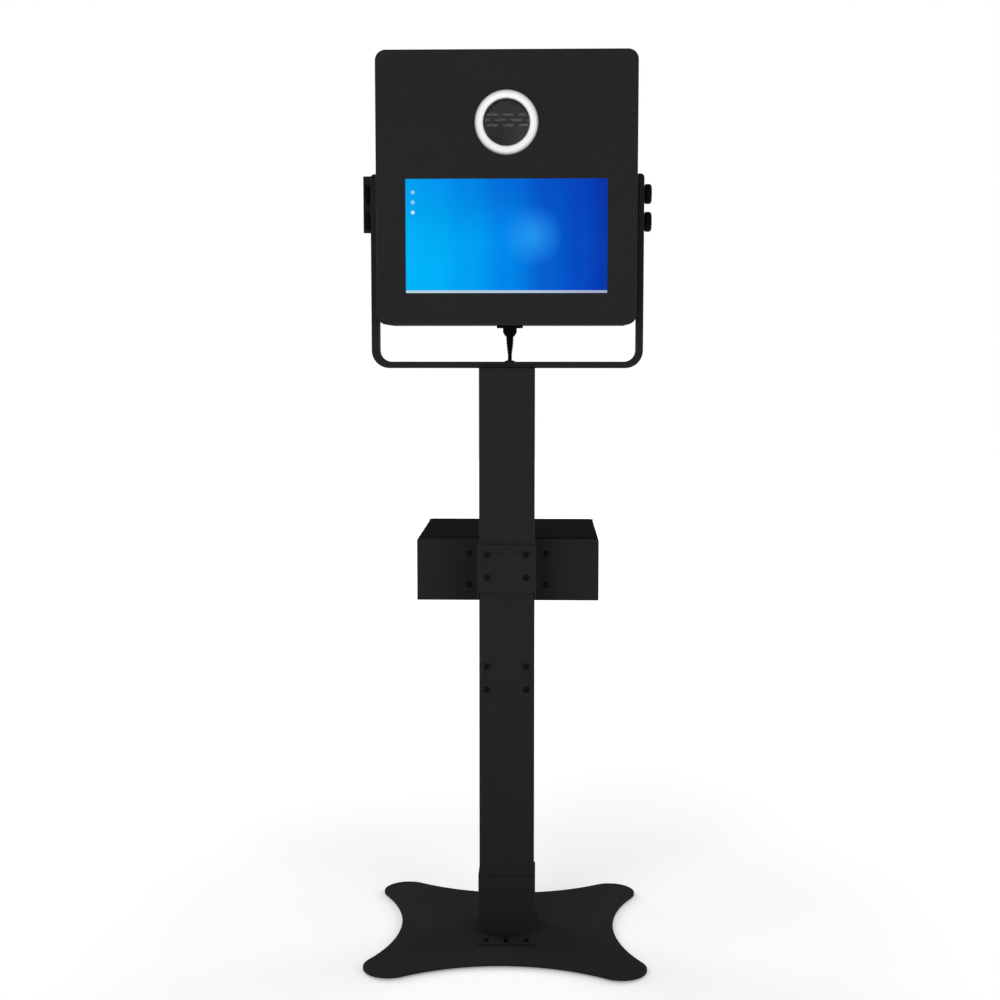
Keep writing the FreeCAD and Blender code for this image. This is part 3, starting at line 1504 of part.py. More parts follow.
# ---------------------------------------------------------------- knobs
def knob(z):
    """A fluted hand knob on a stud, at the +X arm."""
    seat = Vector(knob_seat, 0, z)
    radius, length = knob_radius, knob_length
    neck = knob_neck_length
    grip = rod(radius, Vector(0, 0, neck), AXIS_Z, length - neck)
    grip = grip.makeFillet(knob_face_round, rim(grip.Edges, length))
    grip = grip.makeFillet(knob_back_round, rim(grip.Edges, neck))
    flutes = []
    for i in range(knob_flutes):
        angle = math.radians(360.0 * i / knob_flutes)
        offset = Vector(math.cos(angle), math.sin(angle), 0) * (radius + flute_depth_share * flute_radius)
        flutes.append(rod(flute_radius, offset, AXIS_Z, length + 1))
    inner_end = head_width / 2 - head_sheet - side_plate_thickness - stud_reach
    stud_length = knob_seat - inner_end
    stud = rod(stud_radius, Vector(0, 0, -stud_length), AXIS_Z, stud_length + neck)
    body = grip.cut(flutes).fuse([rod(knob_neck_radius, ORIGIN, AXIS_Z, neck), stud]).removeSplitter()
    return aimed(body, seat, AXIS_X)


# ---------------------------------------------------------------- inlet and plug
def power_inlet():
    """The appliance inlet in the head's underside: flange below, body up inside."""
    top = head_bottom
    centre = Vector(inlet_x, 0, top - inlet_flange_thickness)
    flange = rounded_prism(inlet_flange_width, inlet_flange_depth, inlet_corner, inlet_flange_thickness)
    flange.translate(centre)
    body = block(inlet_x - inlet_body_width / 2, inlet_x + inlet_body_width / 2, -inlet_body_depth / 2,
                 inlet_body_depth / 2, top - 1, top + inlet_body_height - inlet_flange_thickness)
    body = flange.fuse(body).removeSplitter()
    cavity = centred_block(plug_width() + 2 * seat_play, plug_depth() + 2 * seat_play, 2 * (plug_inside + 1),
                           Vector(inlet_x, 0, top - inlet_flange_thickness))
    screw_holes = holes(inlet_screw_points(), clearance(m4_screw), AXIS_Z, 2 * inlet_flange_thickness)
    head_radius, head_height = m4_screw[:2]
    screw_holes += holes(inlet_screw_points(), head_radius + hole_play, AXIS_Z, head_height)
    return body.cut([cavity] + screw_holes)


def plug_width():
    return inlet_body_width - 2 * inlet_wall - 2 * seat_play


def plug_depth():
    return inlet_body_depth - 2 * inlet_wall - 2 * seat_play


def power_plug():
    """The cord's connector in the inlet, with sloped shoulders below."""
    top = head_bottom - inlet_flange_thickness + plug_inside
    body = rounded_prism(plug_width(), plug_depth(), plug_corner, top - plug_bottom)
    body.translate(Vector(inlet_x, 0, plug_bottom))
    return body.makeFillet(plug_shoulder, rim(body.Edges, plug_bottom))


def plug_relief():
    """The tapered, ribbed strain relief below the plug."""
    step = relief_length / (relief_rings + 1)
    end_radius = cord_radius + relief_end_wall
    groove = relief_groove / 2
    profile = [(0, 0), (relief_radius, 0)]
    for i in range(1, relief_rings + 1):
        radius = relief_radius - (relief_radius - end_radius) * i / (relief_rings + 1)
        z = step * i
        profile += [(radius + 0.3 * relief_groove, z - 1.2 * relief_groove),
                    (radius - groove, z - relief_groove), (radius - groove, z),
                    (radius + 0.1 * relief_groove, z + 0.2 * relief_groove)]
    profile += [(end_radius - 0.2 * relief_groove, relief_length), (0, relief_length)]
    return turned(profile, Vector(inlet_x, 0, plug_bottom), -AXIS_Z)


def head_screws():
    """The M4 screws of the head: ring light, display, camera shelf, inlet and door hinges."""
    screws = []
    for point in ring_screw_points():
        screws.append(screw(m4_screw, port_wall, point + AXIS_Y * port_wall, AXIS_Y))
    for point in display_screw_points():
        screws.append(screw(m4_screw, m4_length, point, AXIS_Y))
    for point in shelf_fixing_points():
        screws.append(screw(m4_screw, shelf_screw_length, point + AXIS_Y * camera_shelf_thickness, AXIS_Y))
    for point in inlet_screw_points():
        screws.append(screw(m4_screw, inlet_screw_length, point + AXIS_Z * m4_screw[1], -AXIS_Z))
    for point in leaf_screw_points(1):
        screws.append(screw(m4_screw, hinge_leaf_thickness, point, AXIS_Y))
    return screws


# ---------------------------------------------------------------- the assembly
def save(name, shape):
    if isinstance(shape, list):
        shape = Part.makeCompound(shape)
    shape.exportStep("parts/" + name + ".step")


def main():
    os.makedirs("parts", exist_ok=True)
    column_screw_set, column_nut_set = column_fixings()
    nodes = {
        "base_plate": base_plate(),
        "foot_pads": foot_pads(),
        "foot_socket": foot_socket(),
        "foot_bolts": foot_bolts(),
        "column_lower": column_lower(),
        "column_upper": column_upper(),
        "column_joiner": column_joiner(),
        "column_screws": column_screw_set,
        "column_nuts": column_nut_set,
        "column_cap": column_cap(),
        "yoke": yoke(),
        "yoke_screws": yoke_screws(),
        "yoke_grommet": yoke_grommet(),
        "shelf_bracket": shelf_bracket(),
        "shelf_box": shelf_box(),
        "shelf_bottom": shelf_bottom(),
        "shelf_rear_cover": shelf_rear_cover(),
        "shelf_screws": shelf_screws(),
        "shelf_feed_grommet": shelf_feed_grommet(),
        "mains_inlet": mains_inlet(),
        "rocker_switch": rocker_switch(),
        "power_strip": power_strip(),
        "strip_plug": strip_plug(),
        "strip_lead": strip_lead(),
        "power_cord": power_cord(),
        "head_shell": head_shell(),
        "side_plates": side_plates(),
        "weld_nuts": weld_nuts(),
        "tilt_washers": tilt_washers(),
        "ring_diffuser": ring_diffuser(),
        "ring_housing": ring_housing(),
        "ring_led_board": ring_led_board(),
        "touch_glass": display_part(glass_margin, inner_front, glass_back, 2),
        "lcd_panel": display_part(glass_margin - 1, glass_back, lcd_back, 2),
        "display_clamps": display_clamps(),
        "display_standoffs": display_standoffs(),
        "equipment_plate": equipment_plate(),
        "mini_pc": mini_pc(),
        "led_driver": led_driver(),
        "power_supply": power_supply(),
        "head_wiring": head_wiring(),
        "camera_shelf": camera_shelf(),
        "camera_plate": camera_plate(),
        "camera_screw": camera_screw(),
        "head_screws": head_screws(),
        "power_inlet": power_inlet(),
        "power_plug": power_plug(),
        "plug_relief": plug_relief(),
        "rear_door": rear_door(),
        "door_screws": door_screws(),
        "frame_hinge_leaves": frame_hinge_leaves(),
        "door_hinge_leaves": door_hinge_leaves(),
        "hinge_pins": hinge_pins(),
        "lock_body": lock_body(),
        "lock_cam": lock_cam(),
        "knob_pivot_right": knob(pivot_z),
        "knob_pivot_left": mirrored(knob(pivot_z)),
        "knob_lock_right": knob(lock_z),
        "knob_lock_left": mirrored(knob(lock_z)),
    }
    for name, shape in nodes.items():
        save(name, shape)
    print(len(nodes), "nodes")


main()
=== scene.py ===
import json
import math
import bmesh
import bpy
from mathutils import Matrix, Vector

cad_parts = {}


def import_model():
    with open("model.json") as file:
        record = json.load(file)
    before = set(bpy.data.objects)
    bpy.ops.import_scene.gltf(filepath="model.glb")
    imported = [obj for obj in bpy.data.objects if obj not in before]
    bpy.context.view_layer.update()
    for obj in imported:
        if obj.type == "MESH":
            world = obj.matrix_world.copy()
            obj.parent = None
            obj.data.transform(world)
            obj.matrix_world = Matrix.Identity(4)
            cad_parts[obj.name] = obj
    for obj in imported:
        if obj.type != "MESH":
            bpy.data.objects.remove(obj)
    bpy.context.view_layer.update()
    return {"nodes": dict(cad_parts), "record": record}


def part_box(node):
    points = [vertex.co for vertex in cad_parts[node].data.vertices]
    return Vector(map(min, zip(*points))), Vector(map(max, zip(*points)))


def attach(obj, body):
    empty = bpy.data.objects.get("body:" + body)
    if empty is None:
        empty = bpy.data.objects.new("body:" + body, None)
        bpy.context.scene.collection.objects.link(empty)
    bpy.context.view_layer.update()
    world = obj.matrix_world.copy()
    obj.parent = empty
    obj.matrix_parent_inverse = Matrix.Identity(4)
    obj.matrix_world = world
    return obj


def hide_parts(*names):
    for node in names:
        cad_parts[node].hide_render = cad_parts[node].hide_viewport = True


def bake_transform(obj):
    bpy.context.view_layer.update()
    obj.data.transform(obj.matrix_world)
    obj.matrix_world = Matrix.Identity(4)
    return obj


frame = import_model()
nodes = frame["nodes"]

# A free-standing photo booth, in metres: +Z up, the person in front at -Y. What follows gives the packed
# model its finishes, replaces its knobs, ring light, display, plug, strain relief and cord by finer
# pieces, adds gauze behind the vents and a dark pad under the keyhole as painted shade, and sets up the
# floor, the light and the camera.


def middle(node):
    low, high = (Vector(corner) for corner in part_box(node))
    return (low + high) / 2


# ---------------------------------------------------------------- materials
def srgb(red, green, blue):
    """A colour given as it looks on a screen, 0 to 255, in linear light."""
    def linear(value):
        share = value / 255
        return share / 12.92 if share <= 0.04045 else ((share + 0.055) / 1.055) ** 2.4

    return linear(red), linear(green), linear(blue)


class Graph:
    """One material's node tree, with short calls for the nodes that it uses."""

    def __init__(self, name):
        self.material = bpy.data.materials.new(name)
        self.material.use_nodes = True
        self.tree = self.material.node_tree
        self.shader = self.tree.nodes["Principled BSDF"]
        self.place = self.add("ShaderNodeTexCoord").outputs["Object"]

    def add(self, kind, **settings):
        node = self.tree.nodes.new(kind)
        for name, value in settings.items():
            setattr(node, name, value)
        return node

    def feed(self, socket, value):
        """Links a socket to another one, or gives it a plain value."""
        if isinstance(value, bpy.types.NodeSocket):
            self.tree.links.new(value, socket)
        elif isinstance(value, tuple) and socket.type == "RGBA":
            socket.default_value = value + (1.0,)
        else:
            socket.default_value = value

    def set(self, **values):
        """Sets the shader's own sockets, with _ for a space in their names."""
        for name, value in values.items():
            self.feed(self.shader.inputs[name.replace("_", " ")], value)

    def noise(self, size, detail=3.0, stretch=(1.0, 1.0, 1.0)):
        """Noise from 0 to 1, with spots about size metres across."""
        mapping = self.add("ShaderNodeMapping")
        mapping.inputs["Scale"].default_value = stretch
        node = self.add("ShaderNodeTexNoise")
        self.feed(mapping.inputs["Vector"], self.place)
        self.feed(node.inputs["Vector"], mapping.outputs["Vector"])
        self.feed(node.inputs["Scale"], 1.0 / size)
        self.feed(node.inputs["Detail"], detail)
        return node.outputs["Fac"]

    def span(self, value, low, high, to_low=0.0, to_high=1.0):
        """A value brought from one range to another, and kept in it."""
        node = self.add("ShaderNodeMapRange")
        for index, number in enumerate((value, low, high, to_low, to_high)):
            self.feed(node.inputs[index], number)
        return node.outputs["Result"]

    def sum(self, operation, first, second):
        node = self.add("ShaderNodeMath", operation=operation)
        self.feed(node.inputs[0], first)
        self.feed(node.inputs[1], second)
        return node.outputs["Value"]

    def mix(self, share, first, second, blend="MIX"):
        node = self.add("ShaderNodeMix", data_type="RGBA", blend_type=blend)
        self.feed(node.inputs["Factor"], share)
        colours = [socket for socket in node.inputs if socket.type == "RGBA"]
        self.feed(colours[0], first)
        self.feed(colours[1], second)
        return [socket for socket in node.outputs if socket.type == "RGBA"][0]

    def ramp(self, value, stops):
        """A colour ramp through (place, colour) stops."""
        node = self.add("ShaderNodeValToRGB")
        node.color_ramp.interpolation = "EASE"
        elements = node.color_ramp.elements
        while len(elements) < len(stops):
            elements.new(0.5)
        for element, (place, colour) in zip(elements, stops):
            element.position = place
            element.color = colour + (1.0,)
        self.feed(node.inputs["Fac"], value)
        return node.outputs["Color"]

    def bump(self, height, depth, under=None):
        node = self.add("ShaderNodeBump")
        self.feed(node.inputs["Height"], height)
        self.feed(node.inputs["Distance"], depth)
        if under is not None:
            self.feed(node.inputs["Normal"], under)
        return node.outputs["Normal"]

    def grey(self, value):
        """A number as a grey colour."""
        node = self.add("ShaderNodeCombineColor")
        for socket in node.inputs:
            self.feed(socket, value)
        return node.outputs["Color"]

    def apart(self, point):
        """The distance from a point, seen along Y, in metres."""
        flat = self.add("ShaderNodeVectorMath", operation="MULTIPLY")
        self.feed(flat.inputs[0], self.place)
        flat.inputs[1].default_value = (1.0, 0.0, 1.0)
        node = self.add("ShaderNodeVectorMath", operation="DISTANCE")
        self.feed(node.inputs[0], flat.outputs["Vector"])
        node.inputs[1].default_value = (point.x, 0.0, point.z)
        return node.outputs["Value"]


def surface(name, colour, roughness, metallic=0.0, specular=0.5, mottle=0.12, mottle_size=0.05,
            uneven=0.06, grain=0.0008, depth=0.00005, stretch=(1.0, 1.0, 1.0)):
    """A finish with uneven colour and gloss and a fine grain; stretch makes the grain run one way."""
    g = Graph(name)
    tone = g.span(g.noise(mottle_size, 4.0), 0.3, 0.7)
    dark = tuple(c * (1 - mottle) for c in colour)
    light = tuple(c * (1 + mottle) for c in colour)
    smudge = g.span(g.noise(mottle_size * 1.7, 6.0, (1.0, 1.3, 0.8)), 0.3, 0.7,
                    roughness - uneven, roughness + uneven)
    fine = g.noise(grain, 2.0, stretch)
    g.set(Base_Color=g.mix(tone, dark, light), Roughness=smudge, Metallic=metallic,
          Specular_IOR_Level=specular, Normal=g.bump(fine, depth))
    return g.material


def powder_coat(name, shine, side=1.0, painted_lid_shade=1.0):
    """Black powder coat with a fine pebbled texture, a little dust and faint handling marks; the last two
    arguments scale the tone of the upright faces and of those that look up, as painted light and painted
    shade, and shine is the gloss's level."""
    g = Graph(name)
    broad = g.span(g.noise(0.22, 3.0), 0.3, 0.7)
    speck = g.span(g.noise(0.0012, 2.0), 0.35, 0.65)
    tone = g.mix(broad, srgb(24, 24, 25), srgb(26, 26, 27))
    tone = g.mix(g.sum("MULTIPLY", speck, 0.35), tone, srgb(36, 36, 37))
    smudge = g.span(g.noise(0.07, 5.0, (1.0, 1.0, 1.4)), 0.3, 0.7, 0.80, 0.86)
    pebbles = g.noise(0.0009, 1.0)
    ripple = g.noise(0.006, 2.0)
    normal = g.bump(ripple, 0.00004)
    upward = g.add("ShaderNodeSeparateXYZ")
    g.feed(upward.inputs["Vector"], g.add("ShaderNodeNewGeometry").outputs["Normal"])
    # painted light and painted shade: with factors off 1, upright faces are lightened and upward faces
    # darkened in colour, not by the lamps
    shade = g.grey(g.span(upward.outputs["Z"], 0.5, 0.95, side, painted_lid_shade))
    g.set(Base_Color=g.mix(1.0, tone, shade, "MULTIPLY"), Roughness=smudge, Specular_IOR_Level=shine,
          Normal=g.bump(pebbles, 0.00010, normal))
    return g.material


def knob_plastic():
    """Black moulded plastic with a spark-eroded grain."""
    g = Graph("knob_plastic")
    tone = g.span(g.noise(0.004, 3.0), 0.3, 0.7)
    worn = g.span(g.noise(0.012, 5.0), 0.45, 0.75, 0.5, 0.62)
    g.set(Base_Color=g.mix(tone, (0.0008, 0.0008, 0.0009), (0.0016, 0.0016, 0.0017)), Roughness=worn,
          Specular_IOR_Level=0.05, Normal=g.bump(g.noise(0.0005, 1.0), 0.00005))
    return g.material


def zinc():
    """Bright zinc plating: cloudy, with a faint blue and straw tint."""
    g = Graph("steel_zinc")
    cloud = g.span(g.noise(0.01, 4.0), 0.3, 0.7)
    tint = g.span(g.noise(0.035, 2.0), 0.35, 0.65)
    tone = g.mix(cloud, (0.42, 0.43, 0.45), (0.62, 0.62, 0.62))
    tone = g.mix(g.sum("MULTIPLY", tint, 0.3), tone, (0.6, 0.56, 0.44))
    g.set(Base_Color=tone, Metallic=1.0, Roughness=g.span(cloud, 0.0, 1.0, 0.3, 0.46),
          Normal=g.bump(g.noise(0.0008, 3.0), 0.00003))
    return g.material


def opal():
    """Opal plastic, with painted shade that darkens it towards its inner and outer edges, standing in for the
    shading of its rounded profile.
    """
    g = Graph("diffuser_white")
    low, high = (Vector(corner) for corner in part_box("ring_diffuser"))
    outer = (high.x - low.x) / 2
    share = g.span(g.apart((low + high) / 2), outer - RING_BAND, outer)
    # painted shade: the ring's colour falls off towards its inner and outer edges, as its rounded profile
    # would be shaded
    depth = g.ramp(share, [
        (0.0, (0.32, 0.32, 0.32)), (0.12, (0.68, 0.68, 0.68)), (0.34, (0.76, 0.76, 0.76)),
        (0.62, (0.68, 0.68, 0.68)), (0.85, (0.44, 0.44, 0.44)), (1.0, (0.12, 0.12, 0.12)),
    ])
    cloud = g.span(g.noise(0.006, 3.0), 0.3, 0.7)
    tone = g.mix(1.0, depth, g.mix(cloud, (0.95, 0.95, 0.94), (1.0, 1.0, 0.99)), "MULTIPLY")
    g.set(Base_Color=tone, Roughness=g.span(cloud, 0.0, 1.0, 0.42, 0.52), Specular_IOR_Level=0.25,
          Normal=g.bump(g.noise(0.0012, 2.0), 0.00002))
    return g.material


def touch_glass():
    """Clear glass with an anti-reflective face and a few faint smears."""
    g = Graph("glass_clear")
    smear = g.span(g.noise(0.03, 6.0, (1.0, 1.0, 2.6)), 0.45, 0.75, 0.01, 0.05)
    g.set(Base_Color=(0.985, 0.99, 0.99), Transmission_Weight=1.0, Roughness=smear, IOR=1.05)
    return g.material


def brushed(name, colour, roughness, stretch):
    return surface(name, colour, roughness, metallic=1.0, mottle=0.06, mottle_size=0.03,
                   grain=0.0006, depth=0.00003, stretch=stretch)


def screen_picture(centre, width, height):
    """A lit blue picture: pale at the left, deep at the right, with one soft glow, a bar and three dots."""
    g = Graph("screen_picture")
    split = g.add("ShaderNodeSeparateXYZ")
    g.feed(split.inputs["Vector"], g.place)
    across = g.span(split.outputs["X"], centre.x - width / 2, centre.x + width / 2)
    up = g.span(split.outputs["Z"], centre.z - height / 2, centre.z + height / 2)
    lower = g.ramp(across, [
        (0.0, srgb(2, 181, 250)), (0.14, srgb(1, 177, 249)), (0.30, srgb(1, 163, 245)),
        (0.50, srgb(2, 138, 240)), (0.70, srgb(5, 96, 208)), (0.86, srgb(6, 76, 198)),
        (1.0, srgb(9, 58, 174)),
    ])
    upper = g.ramp(across, [
        (0.0, srgb(2, 162, 240)), (0.14, srgb(3, 153, 242)), (0.30, srgb(1, 134, 231)),
        (0.50, srgb(4, 110, 218)), (0.70, srgb(5, 82, 200)), (0.86, srgb(6, 70, 192)),
        (1.0, srgb(9, 54, 166)),
    ])
    sky = g.mix(g.span(up, 0.45, 0.95), lower, upper)
    glow_spot = centre + Vector((0.13 * width, 0, 0))
    glow_radius = 0.052
    glow = g.span(g.apart(glow_spot), 0.0, glow_radius, 0.62, 0.0)
    picture = g.mix(glow, sky, srgb(46, 170, 255))
    drift = g.span(g.noise(0.09, 2.0), 0.3, 0.7, 0.94, 1.03)
    picture = g.mix(1.0, picture, g.grey(drift), "MULTIPLY")
    bar = g.ramp(across, [
        (0.0, srgb(185, 215, 228)), (0.6, srgb(182, 202, 222)), (1.0, srgb(165, 176, 202)),
    ])
    bar_share = 0.024
    picture = g.mix(g.sum("LESS_THAN", up, bar_share), picture, bar)
    dot_core, dot_edge = 0.0022, 0.0040
    for row, strength in enumerate((0.5, 0.5, 0.9)):
        spot = centre + Vector((-0.465 * width, 0, height * (0.385 - 0.088 * row)))
        mark = g.span(g.apart(spot), dot_core, dot_edge, strength, 0.0)
        picture = g.mix(mark, picture, srgb(215, 238, 250))
    g.set(Base_Color=(0.0, 0.0, 0.0), Roughness=0.5, Specular_IOR_Level=0.0, Emission_Color=picture,
          Emission_Strength=1.0)
    return g.material


RING_BAND = 0.015    # the ring light's width, from its inner to its outer edge

MATERIALS = {
    "powder_black": powder_coat("powder_black", 0.12),
    "bolt_black": surface("bolt_black", (0.0016, 0.0016, 0.0018), 0.5, specular=0.08,
                          mottle=0.25, mottle_size=0.004, grain=0.0007),
    "steel_zinc": zinc(),
    "knob_plastic": knob_plastic(),
    "nylon_black": surface("nylon_black", (0.012, 0.012, 0.012), 0.5, mottle_size=0.01, grain=0.0006),
    "rubber_black": surface("rubber_black", (0.006, 0.006, 0.006), 0.8, specular=0.15, mottle=0.3,
                            mottle_size=0.02, grain=0.0010, depth=0.00009),
    "diffuser_white": opal(),
    "housing_black": surface("housing_black", (0.012, 0.012, 0.012), 0.55, mottle_size=0.02),
    "board_white": surface("board_white", (0.72, 0.74, 0.70), 0.35, mottle=0.05, mottle_size=0.006),
    "glass_clear": touch_glass(),
    "lcd_image": surface("lcd_image", (0.02, 0.02, 0.022), 0.4, metallic=0.5, mottle_size=0.03),
    "aluminium_plain": brushed("aluminium_plain", (0.66, 0.67, 0.68), 0.34, (0.04, 1.0, 1.0)),
    "pc_case": surface("pc_case", (0.022, 0.023, 0.026), 0.42, metallic=0.7, mottle=0.1, mottle_size=0.04),
    "supply_case": surface("supply_case", (0.014, 0.014, 0.015), 0.6, mottle=0.2, mottle_size=0.01,
                           grain=0.0012, depth=0.00012),
    "strip_plastic": surface("strip_plastic", (0.05, 0.05, 0.052), 0.5, mottle=0.1, mottle_size=0.03),
    "inlet_plastic": surface("inlet_plastic", (0.0008, 0.0008, 0.0008), 0.55, specular=0.05, mottle=0.2,
                             mottle_size=0.01),
    "rocker_red": surface("rocker_red", (0.40, 0.022, 0.015), 0.28, mottle=0.08, mottle_size=0.006),
    "cord_black": surface("cord_black", (0.0007, 0.0007, 0.0007), 0.66, specular=0.04, mottle=0.25,
                          mottle_size=0.008, grain=0.0006, depth=0.00006),
    "lock_chrome": surface("lock_chrome", (0.74, 0.75, 0.76), 0.12, metallic=1.0, mottle=0.03,
                           mottle_size=0.008, uneven=0.05, grain=0.0015, depth=0.00001),
}


# ---------------------------------------------------------------- mesh helpers
def piece(name, mesh, body, slot, materials=()):
    """A new mesh object that rides on a body and takes a slot's finish, or the given ones."""
    made = bpy.data.objects.new(name, mesh)
    bpy.context.scene.collection.objects.link(made)
    for material in materials or [MATERIALS[slot]]:
        mesh.materials.append(material)
    if body:
        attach(made, body)
    return made


def to_mesh(name, bm, smooth_below=40.0):
    """The finished mesh: faces outward, and smooth except over edges sharper than an angle."""
    bmesh.ops.recalc_face_normals(bm, faces=bm.faces)
    limit = math.radians(smooth_below)
    for face in bm.faces:
        face.smooth = True
    for edge in bm.edges:
        edge.smooth = len(edge.link_faces) == 2 and edge.calc_face_angle(0.0) < limit
    mesh = bpy.data.meshes.new(name)
    bm.to_mesh(mesh)
    bm.free()
    return mesh


def turn(point, axis):
    """The matrix that takes +Z at the origin to an axis at a point."""
    rotation = Vector((0, 0, 1)).rotation_difference(Vector(axis))
    return Matrix.Translation(point) @ rotation.to_matrix().to_4x4()


def lathe(profile, steps, shape=None):
    """A closed solid turned about +Z from (radius, height) points; shape(angle, radius, height) may change
    a point's radius. A radius of 0 at an end closes it."""
    bm = bmesh.new()
    rows = []
    for radius, height in profile:
        if radius == 0:
            rows.append([bm.verts.new((0, 0, height))])
            continue
        row = []
        for step in range(steps):
            angle = 2 * math.pi * step / steps
            reach = shape(angle, radius, height) if shape else radius
            row.append(bm.verts.new((reach * math.cos(angle), reach * math.sin(angle), height)))
        rows.append(row)
    closed = profile[0][0] != 0
    for lower, upper in zip(rows, rows[1:] + rows[:1] if closed else rows[1:]):
        for step in range(steps):
            after = (step + 1) % steps
            corners = [lower[step % len(lower)], lower[after % len(lower)],
                       upper[after % len(upper)], upper[step % len(upper)]]
            unique = list(dict.fromkeys(corners))
            if len(unique) > 2:
                bm.faces.new(unique)
    return bm


def skin(bm, rows):
    """Closes rows of points with as many points each into a solid with flat ends."""
    count = len(rows[0])
    for lower, upper in zip(rows, rows[1:]):
        for step in range(count):
            after = (step + 1) % count
            bm.faces.new((lower[step], lower[after], upper[after], upper[step]))
    bm.faces.new(rows[0][::-1])
    bm.faces.new(rows[-1])


def rounded_box(low, high, round_radius, segments):
    """A box between two corners, with all its edges rounded."""
    bm = bmesh.new()
    bmesh.ops.create_cube(bm, size=1.0)
    size, centre = high - low, (low + high) / 2
    bmesh.ops.scale(bm, vec=size, verts=bm.verts)
    bmesh.ops.translate(bm, vec=centre, verts=bm.verts)
    bmesh.ops.bevel(bm, geom=list(bm.edges), offset=round_radius, segments=segments, profile=0.5,
                    affect="EDGES")
    return bm


def arc(centre, radius, start, end, steps):
    """Points of an arc in the (radius, height) plane, angles in degrees."""
    points = []
    for step in range(steps + 1):
        angle = math.radians(start + (end - start) * step / steps)
        points.append((centre[0] + radius * math.cos(angle), centre[1] + radius * math.sin(angle)))
    return points


# ---------------------------------------------------------------- cord, relief and plug
CORD_RADIUS = 0.0035
CORD_ROUTE = [
    (0.0045, 0.0, 1.056), (0.0045, 0.0, 1.026), (0.0015, 0.0025, 0.965), (-0.005, 0.009, 0.892),
    (-0.003, 0.012, 0.812), (0.005, 0.002, 0.748), (0.005, -0.011, 0.706), (0.002, -0.008, 0.668),
    (0.0, 0.015, 0.648), (0.0, 0.052, 0.6495), (-0.009, 0.084, 0.643), (-0.0225, 0.1125, 0.6305),
    (-0.0225, 0.1365, 0.6305),
]


def route_line(points):
    """Points along the smooth line that has the route as its control points."""
    curve = bpy.data.curves.new("route", "CURVE")
    curve.dimensions = "3D"
    curve.resolution_u = 12
    spline = curve.splines.new("NURBS")
    spline.points.add(len(points) - 1)
    for point, place in zip(spline.points, points):
        point.co = (*place, 1.0)
    spline.order_u = 3
    spline.use_endpoint_u = True
    holder = bpy.data.objects.new("route", curve)
    bpy.context.scene.collection.objects.link(holder)
    line = bpy.data.meshes.new_from_object(holder)
    path = [vertex.co.copy() for vertex in line.vertices]
    bpy.data.objects.remove(holder)
    bpy.data.meshes.remove(line)
    return path


def finer(path, limit):
    """The same line with points added on its own short pieces, so that no gap is over the limit."""
    points = [path[0]]
    for before, after in zip(path, path[1:]):
        count = max(1, math.ceil((after - before).length / limit))
        points += [before.lerp(after, (step + 1) / count) for step in range(count)]
    return points


def tube(path, radius, sides=20):
    """A closed round tube along a path."""
    bm = bmesh.new()
    rings = []
    side = Vector((1, 0, 0))
    for index, point in enumerate(path):
        ahead = path[min(index + 1, len(path) - 1)] - path[max(index - 1, 0)]
        ahead.normalize()
        side = (side - ahead * side.dot(ahead)).normalized()
        other = ahead.cross(side)
        ring = []
        for step in range(sides):
            angle = 2 * math.pi * step / sides
            ring.append(bm.verts.new(point + (side * math.cos(angle) + other * math.sin(angle)) * radius))
        rings.append(ring)
    skin(bm, rings)
    return bm


def plug():
    """The moulded connector: a waist for the fingers, grip ribs and sloped shoulders."""
    low, high = (Vector(corner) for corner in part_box("power_plug"))
    centre = (low + high) / 2
    half_x, half_y = (high.x - low.x) / 2, (high.y - low.y) / 2
    height = high.z - low.z
    levels = [    # (share of the height, share of the half width)
        (0.0, 0.66), (0.02, 0.70), (0.06, 0.76), (0.12, 0.84), (0.18, 0.94), (0.22, 1.0),
        (0.26, 1.0), (0.275, 0.965), (0.30, 0.965), (0.315, 1.0), (0.345, 1.0), (0.36, 0.965),
        (0.385, 0.965), (0.40, 1.0), (0.47, 1.0), (0.98, 1.0), (1.0, 0.985),
    ]
    bm = bmesh.new()
    rows = []
    count = 48
    squareness = 0.35
    for share, scale in levels:
        row = []
        for step in range(count):
            angle = 2 * math.pi * step / count
            c, s = math.cos(angle), math.sin(angle)
            # a rounded rectangle as a superellipse
            x = half_x * scale * math.copysign(abs(c) ** squareness, c)
            y = half_y * scale * math.copysign(abs(s) ** squareness, s)
            row.append(bm.verts.new((centre.x + x, centre.y + y, low.z + share * height)))
        rows.append(row)
    skin(bm, rows)
    made = piece("plug_body", to_mesh("plug_body", bm, 50), "head", "cord_black")
    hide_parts("power_plug")
    return made


def relief():
    """The tapered relief below the plug: ribs with gaps between them."""
    low, high = (Vector(corner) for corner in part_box("plug_relief"))
    centre = (low + high) / 2
    length = high.z - low.z
    top_radius = (high.x - low.x) / 2
    end_radius = CORD_RADIUS + 0.0005
    ribs = 7
    groove = 0.0009
    pitch = length / (ribs + 0.6)
    profile = [(0, 0), (top_radius, 0)]
    for index in range(ribs):
        start = pitch * (index + 0.45)
        radius = end_radius + (top_radius - end_radius) * (1 - (start / length) ** 1.6)
        waist = radius - groove
        profile += [(radius + 0.0002, start), (waist, start + 0.12 * pitch), (waist, start + 0.42 * pitch),
                    (radius, start + 0.54 * pitch)]
    profile += [(end_radius, length - 0.0006), (end_radius - 0.0005, length), (0, length)]
    bm = lathe(profile, 32)
    bmesh.ops.transform(bm, matrix=turn((centre.x, centre.y, high.z), (0, 0, -1)), verts=bm.verts)
    made = piece("relief_ribbed", to_mesh("relief_ribbed", bm, 35), None, "cord_black")
    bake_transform(made)
    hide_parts("plug_relief")
    return made


def cord(with_pieces):
    """The flex from the head's plug to the outlet strip in the box."""
    path = route_line(CORD_ROUTE)
    sheath = tube(finer(path, 0.003), CORD_RADIUS)
    made = piece("cord_sheath", to_mesh("cord_sheath", sheath, 60), None, "cord_black")
    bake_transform(made)
    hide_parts("power_cord")


cord([plug(), relief(), nodes["strip_plug"]])


